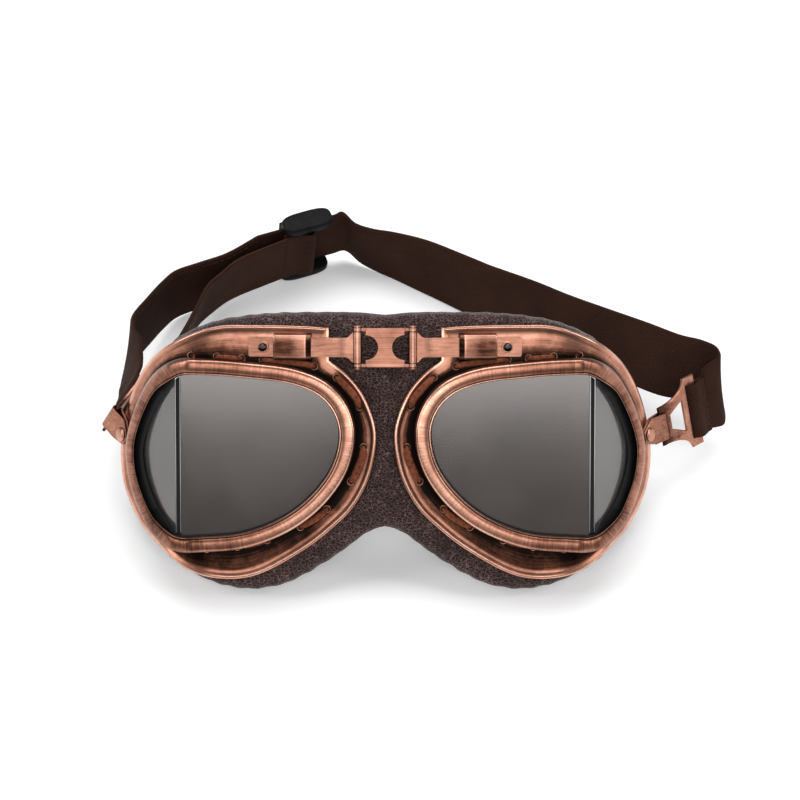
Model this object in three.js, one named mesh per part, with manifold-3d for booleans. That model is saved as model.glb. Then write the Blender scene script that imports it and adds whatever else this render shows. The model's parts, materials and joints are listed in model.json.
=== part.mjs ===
// Costume pilot goggles: two hinged metal eye frames laced to a leather face pad, on an elastic strap.
// Millimetres, +Z up. The goggles lean back on a table, and the strap stands on its edge behind them.
// The eyes are drawn in the goggles' own frame: X out from the middle, Y back from the front, Z up.
// Left and right are as seen from the front, and the left eye is the right one mirrored.

import * as THREE from 'three';
import { mergeVertices } from 'three/addons/utils/BufferGeometryUtils.js';
import Module from 'manifold-3d';

const wasm = await Module();
wasm.setup();
const { degToRad, smoothstep, lerp } = THREE.MathUtils;

// Fits
const gap = 0.3;              // between pieces that touch
const turnClear = 0.3;        // round pins, rivets and what turns

// Pose on the table
const leanBack = degToRad(40);
const restFlat = 0.6;         // how far the pads are flattened where they rest
const rightTab = { swivel: degToRad(18), fold: degToRad(-12) };
const leftTab = { swivel: degToRad(48), fold: degToRad(52) };

// Eye outlines from the front, as points out from the eye's centre and up; their tops follow the brow
const eyeSpacing = 96;
const laceLane = 0.3;         // bezel to the tongue above it
const flangeOver = 7.4;       // top of the flange above the brow
const padOver = 10.4;         // top of the pads above the brow, beside the nose pad
const padCrown = 0.9;         // rise of the pads from there
const bezelOutline = [
  [-37.9, 5.9], [-35, 15.4], [-28.5, 22.4], [-18, 26.8], [-1.9, 28.9], [14.2, 29.9], [22.9, 29.4],
  [31.4, 23.9], [38, 13.2], [42.2, 0], [42.2, -9], [39.9, -18.4], [34.2, -29.2], [25.8, -35.7], [12.5, -36],
  [-1.7, -34.2], [-16.9, -27.8], [-28.4, -18.2], [-35.7, -6.7],
];
const flangeOutline = [
  [-28.9, 40.2], [-19.2, 40.7], [-1.5, 40.9], [8.6, 40.5], [17.9, 37.9], [28, 32.6], [35.8, 24.8],
  [41.4, 14], [45, 0.4], [45.3, -10.1], [43.5, -19.4], [37.7, -30], [29, -37.9], [19.1, -44.3], [7, -46.6],
  [-3.8, -45.1], [-20.6, -35.9], [-30.2, -28.3], [-36.9, -21.5], [-42, -12.4], [-44.5, -3.1], [-45, 4.4],
  [-43.4, 11.1], [-39.6, 19], [-33.7, 25.6], [-28.9, 29],
];
const padArch = -27.9;        // height of the nose arch
const padOutline = [
  [-27.8, 44.8], [-3.3, 43.8], [13.1, 40.6], [25.8, 33.8], [34.6, 22], [38.8, 9], [40, -3], [39.2, -17],
  [35.6, -29.2], [27.8, -39.8], [14.6, -47.1], [7.3, -49.4], [-0.9, -50.5], [-12.3, -48.8], [-21.5, -44.4],
  [-33.8, -36.4],
];

// Pressed sheets: flat across the front, then turned back round the temple
const noseX = -38;
const bendX = 22.7;
const templeFrom = 3;         // past the bend, where the temple starts
const templeTo = 13;
const frontSlope = degToRad(6);
const sideSlope = degToRad(52);
const bezelBend = 4.5;
const flangeBend = 30;
const cupDepth = 11.5;        // bezel face to flange

// Metal sheet
const flangeThick = 1;
const wallThick = 1;
const rimLip = 0.7;           // rolled rim of the flange, forward
const rimWidth = 1.3;
const lipEarClear = 7;        // rim left flat each side of the rivet

// Bezel
const bezelWidth = 5.4;
const bezelCrown = 2;         // rise of its round face
const bezelThick = 0.8;
const skirtDepth = 5;
const skirtThick = 0.9;
const seatGap = 0.5;          // under the bezel, above the cup wall

// Panes and their gasket
const paneDepth = 5.8;        // bezel face to pane
const paneThick = 2;
const paneClear = 0.45;       // in the groove
const gasketLip = 1.2;        // each side of the groove
const grooveDepth = 1.6;
const gasketShow = 0.3;       // seen inside the bezel
const gasketTemple = 3;       // seen inside the bezel at the temple, more
const dividerWidth = 1.2;
const dividerProud = 0.6;

// Lacing
const laceRadius = 0.6;
const laceHole = 1.2;
const laceLift = 0.2;         // lace off the sheet
const laceOut = 0.25;         // hole out from the bezel
const laceOutNose = 2.9;      // more than that at the nose
const laceAngles = [
  58.5, 72.3, 88.1, 102.3, 132.7, 144.6, 161.6, 180, 197.9, 217.5, 236, 257.3, 274.6, 290.3,
];

// Face pads
const padDepth = 15.5;
const padSkin = 1.2;
const padInset = 1.5;         // inner edge in from the bezel outline
const padTemple = 4.4;        // more than that at the temple
const padClear = 0.8;         // behind the flange
const laceRoom = 1.8;         // behind the flange, for the lace
const innerEdge = 2;          // leather turned over the inner edge
const outerEdge = 3;          // leather turned over the outer edge
const nosePadWidth = 9.4;
const nosePadFront = 12.3;
const nosePadBack = 25.5;
const nosePadRound = 1.5;
const nosePadEdge = 3.5;      // chamfer of its top
const nosePadWaist = 10;      // height from which it thins towards the arch
const nosePadThin = 8;        // thinner by this at the arch

// Bridge
const browHeight = 33.5;
const hingeSpacing = 18.8;
const linkHeight = 13.3;
const linkWidth = 13.2;
const linkThick = 1.2;
const linkCut = 4.2;          // radius of the half-round cut in each side
const armHeight = 1.1;
const knuckleRadius = 1.5;
const pinRadius = 0.7;
const pinHead = 0.5;
const hingeForward = 1.1;     // hinge axis in front of the flange
const tongueHeight = 6.6;
const tongueThick = 1;
const tongueEnd = 46.5;       // from the middle
const tongueHead = 2.4;       // wide part, from the hinge axis
const tongueFillet = 1.6;
const studAt = 41.5;
const studRadius = 1.5;
const studShank = 0.8;
const keeperAt = 32.5;
const keeperLength = 11;
const keeperThick = 0.7;

// Strap tab, rivet and ring
const rivetOut = 43.4;        // from the eye's centre
const rivetHeight = 0.6;
const rivetShank = 1.2;
const rivetHead = 2;
const rivetHeadThick = 0.7;
const earRadius = 3.8;
const tabWidth = 9.6;
const tabThick = 0.7;
const tabBack = 3.2;          // behind the rivet's axis
const tabEnd = 3.4;           // its width there
const tabReach = 7.8;         // rivet's axis to the ring's hinge
const tabFlat = 2.6;          // round the rivet's axis, where the tab's two layers lie together
const ringThick = 1.2;
const hingeBar = 1.2;
const foldRadius = 1.15;      // inside the tab's fold
const ringWeb = 1.8;
const ringWindow = 7.4;
const strapSlot = 2.5;
const strapBar = 2.2;
const ringEndWidth = 25.4;    // at the strap bar
const ringSide = 1.7;         // metal beside the slots
const windowWide = [5.9, 12.8];

// Strap
const strapWidth = 25;
const strapThick = 1.3;
const loopWidth = 20;         // gathered round a ring
const loopRoom = 0.35;        // round a bar
const layerGap = 0.35;        // between sewn layers
const loopLeg = 6.2;          // bar to the end of the right loop
const endLeg = 10.4;          // slider's middle bar to the sewn end
const sewnFrom = 4.4;         // bar to where two layers are sewn
const sewnShort = 0.6;        // sewn end inside its other layer
const openLeg = 7;            // bar to the end of the left loop

// Strap route on the table: across, back, lower edge above the table, lean outwards in degrees
const rightRoute = [
  [117.3, 57.6, 12, -24], [119.2, 60.6, 12.9, -14], [119.7, 63.6, 13.3, -5], [117.2, 66.4, 13.5, 6],
  [111.8, 69, 13.4, 16],
  [103.2, 73, 12.4, 24], [92.3, 81.6, 10.2, 26], [78.4, 91.8, 7.6, 24], [64.3, 102.6, 4.8, 20],
  [53.2, 111.8, 2.8, 17], [37, 123.3, 0.6, 12],
];
const backRoute = [
  [26, 131, 0.2, 9], [14, 138.6, 0.13, 5.5], [3, 144.2, 0.13, -2.5], [-5, 147.2, 0.7, -9],
  [-11, 150, 1.8, -12],
];
const slideFrom = [-16.5, 153.2];
const slideTo = [-49.3, 139.5];
const slideFoot = 5;
const slideLean = -13;
const leftRoute = [
  [-60.6, 131.4, 2.2, -8], [-70.2, 127, 1, -5], [-79, 121.6, 1.4, -4], [-83.4, 114, 3, -4],
  [-88, 101.9, 6.2, -4], [-92.6, 87, 10.8, -5], [-93.2, 77.6, 14, -11], [-91.8, 70, 16.2, -20],
];
const innerRoute = [
  [-82.4, 66.8, 12.8, 23], [-78.8, 76, 11, 19], [-75.2, 86, 9.2, 16], [-72.6, 95.4, 7.2, 14],
  [-71, 103.6, 5.8, 15], [-68.2, 112.8, 4.8, 15], [-63.6, 119.6, 4.4, 15], [-57.6, 126.8, 4.2, 14],
];

// Slider: two end plates, two outer bars behind the strap and a middle bar in front of it
const sliderLength = 19.6;
const sliderEnd = 3.4;
const sliderBar = 2.4;
const sliderBarThick = 1.8;
const sliderAt = 0.46;        // along the straight stretch

// Facets
const eyeSteps = 48;
const gasketSteps = 36;
const padSteps = 36;
const roundSides = 14;
const holeSides = 8;

// Finishes
function finish(color, roughness, metalness) {
  return new THREE.MeshStandardMaterial({ color, roughness, metalness });
}
const copper = finish(0xb0765a, 0.35, 1);
const rubber = finish(0x141416, 0.6, 0);
const smokeGlass = finish(0x6b6663, 0.1, 0);
const leather = finish(0x3c302e, 0.65, 0);
const foam = finish(0x2a2a2c, 0.9, 0);
const lace = finish(0x7a4630, 0.8, 0);
const elastic = finish(0x3a2319, 0.9, 0);
const blackPlastic = finish(0x17181a, 0.4, 0);
const darkSteel = finish(0x2c2a2a, 0.3, 1);

// Solids

function orient(geometry) {
  const p = geometry.attributes.position;
  const index = geometry.index.array;
  const [a, b, c] = [new THREE.Vector3(), new THREE.Vector3(), new THREE.Vector3()];
  let volume = 0;
  for (let i = 0; i < index.length; i += 3) {
    a.fromBufferAttribute(p, index[i]);
    b.fromBufferAttribute(p, index[i + 1]);
    c.fromBufferAttribute(p, index[i + 2]);
    volume += a.dot(b.cross(c));
  }
  if (volume < 0) flip(geometry);
  return geometry;
}

function flip(geometry) {
  const index = geometry.index.array;
  for (let i = 0; i < index.length; i += 3) {
    [index[i], index[i + 1]] = [index[i + 1], index[i]];
  }
  return geometry;
}

function fromTriangles(points, index) {
  const geometry = new THREE.BufferGeometry().setFromPoints(points);
  geometry.setIndex(index);
  return orient(geometry);
}

// A ring of rings: each ring is one line of the section, carried round
function loft(rings) {
  const steps = rings[0].length;
  const index = [];
  for (let r = 0; r < rings.length; r += 1) {
    const next = (r + 1) % rings.length;
    for (let i = 0; i < steps; i += 1) {
      const j = (i + 1) % steps;
      const [a, b, c, d] = [r * steps + i, r * steps + j, next * steps + j, next * steps + i];
      index.push(a, b, c, a, c, d);
    }
  }
  return fromTriangles(rings.flat(), index);
}

// A run of closed sections with flat ends
function run(sections) {
  const sides = sections[0].length;
  const index = [];
  for (let s = 0; s + 1 < sections.length; s += 1) {
    for (let i = 0; i < sides; i += 1) {
      const j = (i + 1) % sides;
      const [a, b, c, d] = [s * sides + i, s * sides + j, (s + 1) * sides + j, (s + 1) * sides + i];
      index.push(a, b, c, a, c, d);
    }
  }
  const last = (sections.length - 1) * sides;
  for (let i = 1; i + 1 < sides; i += 1) {
    index.push(0, i + 1, i);
    index.push(last, last + i, last + i + 1);
  }
  return fromTriangles(sections.flat(), index);
}

// A flat sheet of any outline, with its front and back placed by a function of each outline point
function sheet(line, front, back) {
  const faces = THREE.ShapeUtils.triangulateShape(line, []);
  const count = line.length;
  const index = [];
  for (const [a, b, c] of faces) {
    index.push(a, b, c);
    index.push(count + a, count + c, count + b);
  }
  for (let i = 0; i < count; i += 1) {
    const j = (i + 1) % count;
    index.push(i, count + i, count + j, i, count + j, j);
  }
  return fromTriangles([...line.map(front), ...line.map(back)], index);
}

function toSolid(geometry) {
  const bare = geometry.clone();
  bare.deleteAttribute('normal');
  bare.deleteAttribute('uv');
  const merged = mergeVertices(bare, 1e-4);
  const vertProperties = new Float32Array(merged.attributes.position.array);
  const triVerts = new Uint32Array(merged.index.array);
  return new wasm.Manifold(new wasm.Mesh({ numProp: 3, vertProperties, triVerts }));
}

function fromSolid(solid) {
  const mesh = solid.getMesh();
  const geometry = new THREE.BufferGeometry();
  geometry.setAttribute('position', new THREE.BufferAttribute(mesh.vertProperties, 3));
  geometry.setIndex(new THREE.BufferAttribute(mesh.triVerts, 1));
  return geometry;
}

function join(...pieces) {
  return fromSolid(pieces.map(toSolid).reduce((whole, piece) => whole.add(piece)));
}

function cut(piece, ...tools) {
  return fromSolid(tools.map(toSolid).reduce((whole, tool) => whole.subtract(tool), toSolid(piece)));
}

// A round bar along Y, between two depths
function barY(radius, from, to, sides = holeSides) {
  return new THREE.CylinderGeometry(radius, radius, to - from, sides).translate(0, (from + to) / 2, 0);
}

// A round bar along Z, between two heights
function barZ(radius, from, to, sides = roundSides) {
  return new THREE.CylinderGeometry(radius, radius, to - from, sides).rotateX(Math.PI / 2)
    .translate(0, 0, (from + to) / 2);
}

// A box between two corners
function block(low, high) {
  const size = high.map((v, i) => v - low[i]);
  const middle = high.map((v, i) => (v + low[i]) / 2);
  return new THREE.BoxGeometry(...size).translate(...middle);
}

// A flat outline in X and Z, thick along Y
function extrudeY(shape, from, to) {
  const flat = new THREE.ExtrudeGeometry(shape, { depth: to - from, bevelEnabled: false, curveSegments: 8 });
  return flat.rotateX(Math.PI / 2).translate(0, to, 0);
}

// A flat outline in X and Y, thick along Z and centred there
function extrudeZ(shape, height) {
  const flat = new THREE.ExtrudeGeometry(shape, { depth: height, bevelEnabled: false, curveSegments: 8 });
  return flat.translate(0, 0, -height / 2);
}

function polygon(points) {
  return new THREE.Shape(points.map(([x, y]) => new THREE.Vector2(x, y)));
}

function piece(parent, name, geometry, material) {
  const mesh = new THREE.Mesh(geometry, material);
  mesh.name = name;
  parent.add(mesh);
  return mesh;
}

// Outlines round an eye

function spline(points, closed) {
  const knots = points.map(([x, z]) => new THREE.Vector3(x, z, 0));
  const curve = new THREE.CatmullRomCurve3(knots, closed, 'centripetal');
  const line = curve.getPoints(points.length * 10).map((p) => new THREE.Vector2(p.x, p.y));
  return closed ? line.slice(0, -1) : line;
}

// Where a ray from the eye's centre meets an outline
function meet(line, angle) {
  const ray = new THREE.Vector2(Math.cos(angle), Math.sin(angle));
  for (let i = 0; i < line.length; i += 1) {
    const a = line[i];
    const b = line[(i + 1) % line.length];
    const [before, after] = [ray.cross(a), ray.cross(b)];
    if (before <= 0 === after <= 0) continue;
    const at = a.clone().lerp(b, before / (before - after));
    if (at.dot(ray) > 0) return at;
  }
  throw new Error('the outline does not go round the eye');
}

// The same point, with the outline's outward direction there, evened out at corners
function rimAt(line, angle) {
  const along = meet(line, angle + 0.03).sub(meet(line, angle - 0.03)).normalize();
  return { at: meet(line, angle), out: new THREE.Vector2(along.y, -along.x) };
}

function rimsOf(line, angles) {
  return angles.map((angle) => rimAt(line, angle));
}

// Even angles, with the nearest ones moved onto the outline's corners
function anglesOn(steps, corners) {
  const angles = Array.from({ length: steps }, (_, i) => (i / steps) * 2 * Math.PI);
  for (const [x, z] of corners) {
    const at = (Math.atan2(z, x) + 2 * Math.PI) % (2 * Math.PI);
    angles[Math.round((at / (2 * Math.PI)) * steps) % steps] = at;
  }
  return angles;
}

function inward(rim, distance) {
  return rim.at.clone().addScaledVector(rim.out, -distance);
}

// Depth of a pressed sheet at a distance out, and its slope there
function sweep(depth, bend, x) {
  const reach = bend * Math.tan((sideSlope - frontSlope) / 2);
  const start = bendX - reach * Math.cos(frontSlope);
  const end = bendX + reach * Math.cos(sideSlope);
  const flat = (at) => depth + (at - noseX) * Math.tan(frontSlope);
  if (x <= start) return flat(x);
  if (x >= end) return flat(bendX) + (x - bendX) * Math.tan(sideSlope);
  const turn = Math.asin((x - start) / bend + Math.sin(frontSlope));
  return flat(start) + bend * (Math.cos(frontSlope) - Math.cos(turn));
}
const faceY = (x) => sweep(0, bezelBend, x);
const paneY = (x) => sweep(paneDepth, 0, x);
const flangeY = (x) => sweep(cupDepth, flangeBend, x);

function ringAt(points, depth) {
  return points.map((p, i) => new THREE.Vector3(p.x, depth(p.x, i), p.y));
}

// How far round to the temple a point lies, 0 to 1
const templeAt = (x) => smoothstep(x, bendX + templeFrom, bendX + templeTo);

// A width across the front, foreshortened where the sheet turns back
function widthAt(rim, width) {
  const slope = lerp(frontSlope, sideSlope, templeAt(rim.at.x));
  return width * Math.hypot(rim.out.x * Math.cos(slope), rim.out.y);
}

// An outline with its upper half drawn up or down to a top
function toppedAt(points, top) {
  const peak = Math.max(...points.map(([, z]) => z));
  return points.map(([x, z]) => [x, z > 0 ? (z * top) / peak : z]);
}

const padTop = browHeight + padOver;
const padInner = (nosePadWidth / 2 + gap) - eyeSpacing / 2;
const flangeEdge = toppedAt(flangeOutline, browHeight + flangeOver);
const bezelLine = spline(toppedAt(bezelOutline, browHeight - tongueHeight / 2 - laceLane), true);
const flangeLine = spline(flangeEdge, false);
const padEdge = toppedAt(padOutline, padTop + padCrown);
const padLine = spline([[padInner, padTop], ...padEdge, [padInner, padArch]], false);

const wallOut = skirtThick + gap;
const wallIn = wallOut + wallThick;
const gasketOut = wallIn + gap;
const bezelUnder = bezelCrown + bezelThick;
const gasketIn = (rim) => widthAt(rim, bezelWidth) + gasketShow + gasketTemple * templeAt(rim.at.x);

// Eye pieces, for the right side

function laceRim(degrees) {
  const angle = degToRad(degrees);
  const rim = rimAt(bezelLine, angle);
  const nose = Math.max(0, -Math.cos(angle)) ** 1.5;
  return inward(rim, -(laceOut + laceOutNose * nose));
}
const laceHoles = laceAngles.map(laceRim);

// The rolled rim stops where the tongue crosses it, and at the ear
function lipAt(p) {
  const [tongueEdge, tongueLow] = flangeEdge.at(-1);
  const underTongue = p.x < tongueEdge + 0.1 && p.y > tongueLow - 0.1;
  const atEar = p.x > 0 && Math.abs(p.y - rivetHeight) < lipEarClear;
  return underTongue || atEar ? 0 : rimLip;
}

function frameGeometry() {
  const angles = anglesOn(eyeSteps, [flangeEdge[0], flangeEdge.at(-1)]);
  const bezelRims = rimsOf(bezelLine, angles);
  const flangeRims = rimsOf(flangeLine, angles);
  const edge = flangeRims.map((rim) => rim.at);
  const wallOuter = bezelRims.map((rim) => inward(rim, wallOut));
  const wallInner = bezelRims.map((rim) => inward(rim, wallIn));
  const wallFront = (x) => faceY(x) + bezelUnder + seatGap;
  const shell = loft([
    ringAt(edge, (x, i) => flangeY(x) - lipAt(edge[i])),
    ringAt(edge, (x) => flangeY(x) + flangeThick),
    ringAt(wallInner, (x) => flangeY(x) + flangeThick),
    ringAt(wallInner, wallFront),
    ringAt(wallOuter, wallFront),
    ringAt(wallOuter, flangeY),
    ringAt(flangeRims.map((rim) => inward(rim, rimWidth)), flangeY),
  ]);
  const earThick = flangeThick * Math.cos(sideSlope);
  const seat = (geometry) => geometry.rotateZ(sideSlope).translate(rivetOut, flangeY(rivetOut), rivetHeight);
  const ear = seat(barY(earRadius, 0, earThick, roundSides));
  const rivetHole = seat(barY(rivetShank + turnClear, -earThick, 2 * earThick));
  const holes = laceHoles.map((p) => {
    const depth = flangeY(p.x);
    return barY(laceHole, depth - 2 * flangeThick, depth + 3 * flangeThick).translate(p.x, 0, p.y);
  });
  return cut(join(shell, ear), rivetHole, ...holes);
}

function bezelGeometry() {
  const rims = rimsOf(bezelLine, anglesOn(eyeSteps, []));
  const across = (share) => rims.map((rim) => inward(rim, share * widthAt(rim, bezelWidth)));
  const inset = (distance) => rims.map((rim) => inward(rim, distance));
  const below = (depth) => (x) => faceY(x) + depth;
  return loft([
    ringAt(inset(0), below(skirtDepth)),
    ringAt(inset(0), below(0.9 * bezelCrown)),
    ringAt(across(0.16), below(0.3 * bezelCrown)),
    ringAt(across(0.45), below(0)),
    ringAt(across(0.78), below(0.28 * bezelCrown)),
    ringAt(across(1), below(bezelCrown)),
    ringAt(across(1), below(bezelUnder)),
    ringAt(inset(skirtThick), below(bezelUnder)),
    ringAt(inset(skirtThick), below(skirtDepth)),
  ]);
}

// The angle at which the middle of the gasket's groove crosses the divider
function dividerAngle(from, to) {
  const beyond = (angle) => {
    const rim = rimAt(bezelLine, angle);
    return inward(rim, gasketIn(rim) - grooveDepth / 2).x > bendX;
  };
  let [low, high] = [from, to];
  for (let i = 0; i < 30; i += 1) {
    const middle = (low + high) / 2;
    if (beyond(middle) === beyond(from)) low = middle;
    else high = middle;
  }
  return low;
}

function gasketRims() {
  const turns = [dividerAngle(0, Math.PI / 2), dividerAngle(2 * Math.PI, 1.5 * Math.PI)];
  return rimsOf(bezelLine, anglesOn(gasketSteps, turns.map((a) => [Math.cos(a), Math.sin(a)])));
}

function gasketGeometry() {
  const rims = gasketRims();
  const outer = rims.map((rim) => inward(rim, gasketOut));
  const inner = rims.map((rim) => inward(rim, gasketIn(rim)));
  const groove = rims.map((rim) => inward(rim, gasketIn(rim) - grooveDepth));
  const grooveFront = (x) => paneY(x) - paneClear;
  const grooveBack = (x) => paneY(x) + paneThick + paneClear;
  const front = (x) => grooveFront(x) - gasketLip;
  const back = (x) => grooveBack(x) + gasketLip;
  return loft([
    ringAt(outer, front),
    ringAt(inner, front),
    ringAt(inner, grooveFront),
    ringAt(groove, grooveFront),
    ringAt(groove, grooveBack),
    ringAt(inner, grooveBack),
    ringAt(inner, back),
    ringAt(outer, back),
  ]);
}

// The part of an outline on one side of an upright line
function clip(line, x, side) {
  const inside = (p) => (p.x - x) * side >= 0;
  const kept = [];
  line.forEach((a, i) => {
    const b = line[(i + 1) % line.length];
    if (inside(a)) kept.push(a);
    if (inside(a) !== inside(b)) kept.push(a.clone().lerp(b, (x - a.x) / (b.x - a.x)));
  });
  return kept;
}

function paneGeometry(side) {
  const line = gasketRims().map((rim) => inward(rim, gasketIn(rim) - grooveDepth + paneClear));
  const pane = clip(line, bendX + side * (dividerWidth / 2 + gap), side);
  const at = (depth) => (p) => new THREE.Vector3(p.x, paneY(p.x) + depth, p.y);
  return sheet(pane, at(0), at(paneThick));
}

function dividerGeometry() {
  const line = gasketRims().map((rim) => inward(rim, gasketIn(rim) + gap));
  const left = clip(line, bendX - dividerWidth / 2, 1);
  const strip = clip(left, bendX + dividerWidth / 2, -1);
  const depth = paneY(bendX);
  const at = (y) => (p) => new THREE.Vector3(p.x, y, p.y);
  return sheet(strip, at(depth - dividerProud), at(depth + paneThick + dividerProud));
}

// One lace, in and out through the flange holes, behind the sheet between stitches
function lacingGeometry() {
  const front = (x) => flangeY(x) - laceLift - laceRadius;
  const back = (x) => flangeY(x) + flangeThick + laceLift + laceRadius;
  const knots = [];
  laceHoles.forEach((hole, i) => {
    const before = laceHoles[Math.max(i - 1, 0)];
    const after = laceHoles[Math.min(i + 1, laceHoles.length - 1)];
    const along = after.clone().sub(before).normalize();
    const end = i === 0 || i === laceHoles.length - 1;
    const rising = i % 2 === 1;
    const [first, second] = rising ? [back, front] : [front, back];
    if (end) {
      knots.push(new THREE.Vector3(hole.x, back(hole.x), hole.y));
      return;
    }
    for (const [shift, depth] of [[-2.4, first], [-laceRadius, first], [laceRadius, second], [2.4, second]]) {
      const p = hole.clone().addScaledVector(along, shift);
      knots.push(new THREE.Vector3(p.x, depth(p.x), p.y));
    }
  });
  const path = new THREE.CatmullRomCurve3(knots, false, 'centripetal');
  const sides = Array.from({ length: 5 }, (_, i) => (i / 5) * 2 * Math.PI);
  const section = polygon(sides.map((a) => [laceRadius * Math.cos(a), laceRadius * Math.sin(a)]));
  const steps = Math.round(1.6 * knots.length);
  return new THREE.ExtrudeGeometry(section, { steps, extrudePath: path, bevelEnabled: false });
}

// Face pad: a leather cover open under the flange, over a foam ring

function padRims() {
  const angles = anglesOn(padSteps, [[padInner, padTop], [padInner, padArch]]);
  const outer = rimsOf(padLine, angles);
  const inner = rimsOf(bezelLine, angles).map((rim) => {
    const at = inward(rim, padInset + padTemple * smoothstep(rim.at.x, bendX - 6, bendX + 8));
    return { at, out: rim.out.clone().negate() };
  });
  return { outer, inner };
}

const padAt = (depth) => (x) => {
  const nose = 1 - smoothstep(x, noseX + 1, noseX + 8);
  return flangeY(x) + flangeThick + lerp(padClear, laceRoom, nose) + depth;
};
const laceLine = (depth) => (x) => flangeY(x) + flangeThick + laceRoom + depth;

function padLines() {
  const { outer, inner } = padRims();
  const middle = outer.map((rim, i) => rim.at.clone().lerp(inner[i].at, 0.5));
  const shoulder = (rims, share) => rims.map((rim, i) => rim.at.clone().lerp(middle[i], share));
  const inset = (rims, distance) => rims.map((rim) => inward(rim, distance));
  return { outer, inner, middle, shoulder, inset };
}

function padCoverGeometry() {
  const { outer, inner, middle, shoulder, inset } = padLines();
  const skin = padSkin;
  return loft([
    ringAt(inset(outer, outerEdge), padAt(0)),
    ringAt(inset(outer, 0.8), padAt(0.05 * padDepth)),
    ringAt(inset(outer, -0.3), padAt(0.28 * padDepth)),
    ringAt(inset(outer, 0), padAt(0.6 * padDepth)),
    ringAt(shoulder(outer, 0.32), padAt(0.88 * padDepth)),
    ringAt(middle, padAt(padDepth)),
    ringAt(shoulder(inner, 0.32), padAt(0.88 * padDepth)),
    ringAt(inset(inner, 0), padAt(0.6 * padDepth)),
    ringAt(inset(inner, 0), laceLine(skin)),
    ringAt(inset(inner, innerEdge), laceLine(0)),
    ringAt(inset(inner, innerEdge), laceLine(skin)),
    ringAt(inset(inner, skin), laceLine(2 * skin)),
    ringAt(inset(inner, skin), padAt(0.58 * padDepth)),
    ringAt(shoulder(inner, 0.42), padAt(0.88 * padDepth - skin)),
    ringAt(middle, padAt(padDepth - skin)),
    ringAt(shoulder(outer, 0.42), padAt(0.88 * padDepth - skin)),
    ringAt(inset(outer, skin), padAt(0.58 * padDepth)),
    ringAt(inset(outer, skin), padAt(0.28 * padDepth)),
    ringAt(inset(outer, outerEdge), padAt(skin)),
  ]);
}

function padFoamGeometry() {
  const { outer, inner, middle, inset } = padLines();
  const clear = padSkin + 2 * gap;
  return loft([
    ringAt(inset(outer, outerEdge), padAt(padSkin + 4 * gap)),
    ringAt(inset(outer, clear), padAt(0.3 * padDepth)),
    ringAt(inset(outer, clear), padAt(0.56 * padDepth)),
    ringAt(middle, padAt(padDepth - padSkin - 3 * gap)),
    ringAt(inset(inner, clear), padAt(0.56 * padDepth)),
    ringAt(inset(inner, clear), laceLine(2 * padSkin + 2 * gap)),
  ]);
}

// Brow pieces, drawn flat on the flange: X along it from the hinge axis, Y back

const hingeX = (hingeSpacing - eyeSpacing) / 2;
const browScale = 1 / Math.cos(frontSlope);
const browX = (fromMiddle) => (fromMiddle - hingeSpacing / 2) * browScale;
const barrelHeight = linkHeight - 2 * armHeight - 2 * turnClear;
const tongueBack = hingeForward - gap;

function tongueGeometry() {
  const half = tongueHeight / 2;
  const wide = barrelHeight / 2;
  const end = browX(tongueEnd);
  const outline = new THREE.Shape();
  outline.moveTo(0, -wide);
  outline.lineTo(tongueHead - tongueFillet, -wide);
  outline.quadraticCurveTo(tongueHead, -wide, tongueHead, -half - tongueFillet);
  outline.quadraticCurveTo(tongueHead, -half, tongueHead + tongueFillet, -half);
  outline.lineTo(end, -half);
  outline.lineTo(end, half);
  outline.lineTo(tongueHead + tongueFillet, half);
  outline.quadraticCurveTo(tongueHead, half, tongueHead, half + tongueFillet);
  outline.quadraticCurveTo(tongueHead, wide, tongueHead - tongueFillet, wide);
  outline.lineTo(0, wide);
  const plate = extrudeY(outline, tongueBack - tongueThick, tongueBack);
  const barrel = barZ(knuckleRadius, -wide, wide);
  const bore = barZ(pinRadius + turnClear, -2 * wide, 2 * wide);
  const studHole = barY(studShank + gap, -5 * tongueThick, 5 * tongueThick).translate(browX(studAt), 0, 0);
  return cut(join(plate, barrel), bore, studHole);
}

function studGeometry() {
  const front = tongueBack - tongueThick - gap;
  const profile = [[0, front - studRadius]];
  for (let i = 1; i <= 5; i += 1) {
    const turn = (i / 5) * (Math.PI / 2);
    profile.push([studRadius * Math.sin(turn), front - studRadius * Math.cos(turn)]);
  }
  profile.push([studShank, front], [studShank, tongueBack], [0, tongueBack]);
  const line = profile.map(([r, y]) => new THREE.Vector2(r, y));
  return new THREE.LatheGeometry(line, 12).translate(browX(studAt), 0, 0);
}

function keeperGeometry() {
  const inside = tongueHeight / 2 + gap;
  const outside = inside + keeperThick;
  const foot = hingeForward - gap;
  const roof = tongueBack - tongueThick - 2 * gap;
  const top = roof - keeperThick;
  const arch = polygon([
    [-outside, foot], [-outside, top + 1], [-outside + 0.6, top], [outside - 0.6, top], [outside, top + 1],
    [outside, foot], [inside, foot], [inside, roof], [-inside, roof], [-inside, foot],
  ]);
  const band = extrudeZ(arch, keeperLength);
  const turn = new THREE.Matrix4().makeBasis(
    new THREE.Vector3(0, 0, 1), new THREE.Vector3(0, 1, 0), new THREE.Vector3(-1, 0, 0),
  );
  return band.applyMatrix4(turn).translate(browX(keeperAt), 0, 0);
}

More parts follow.
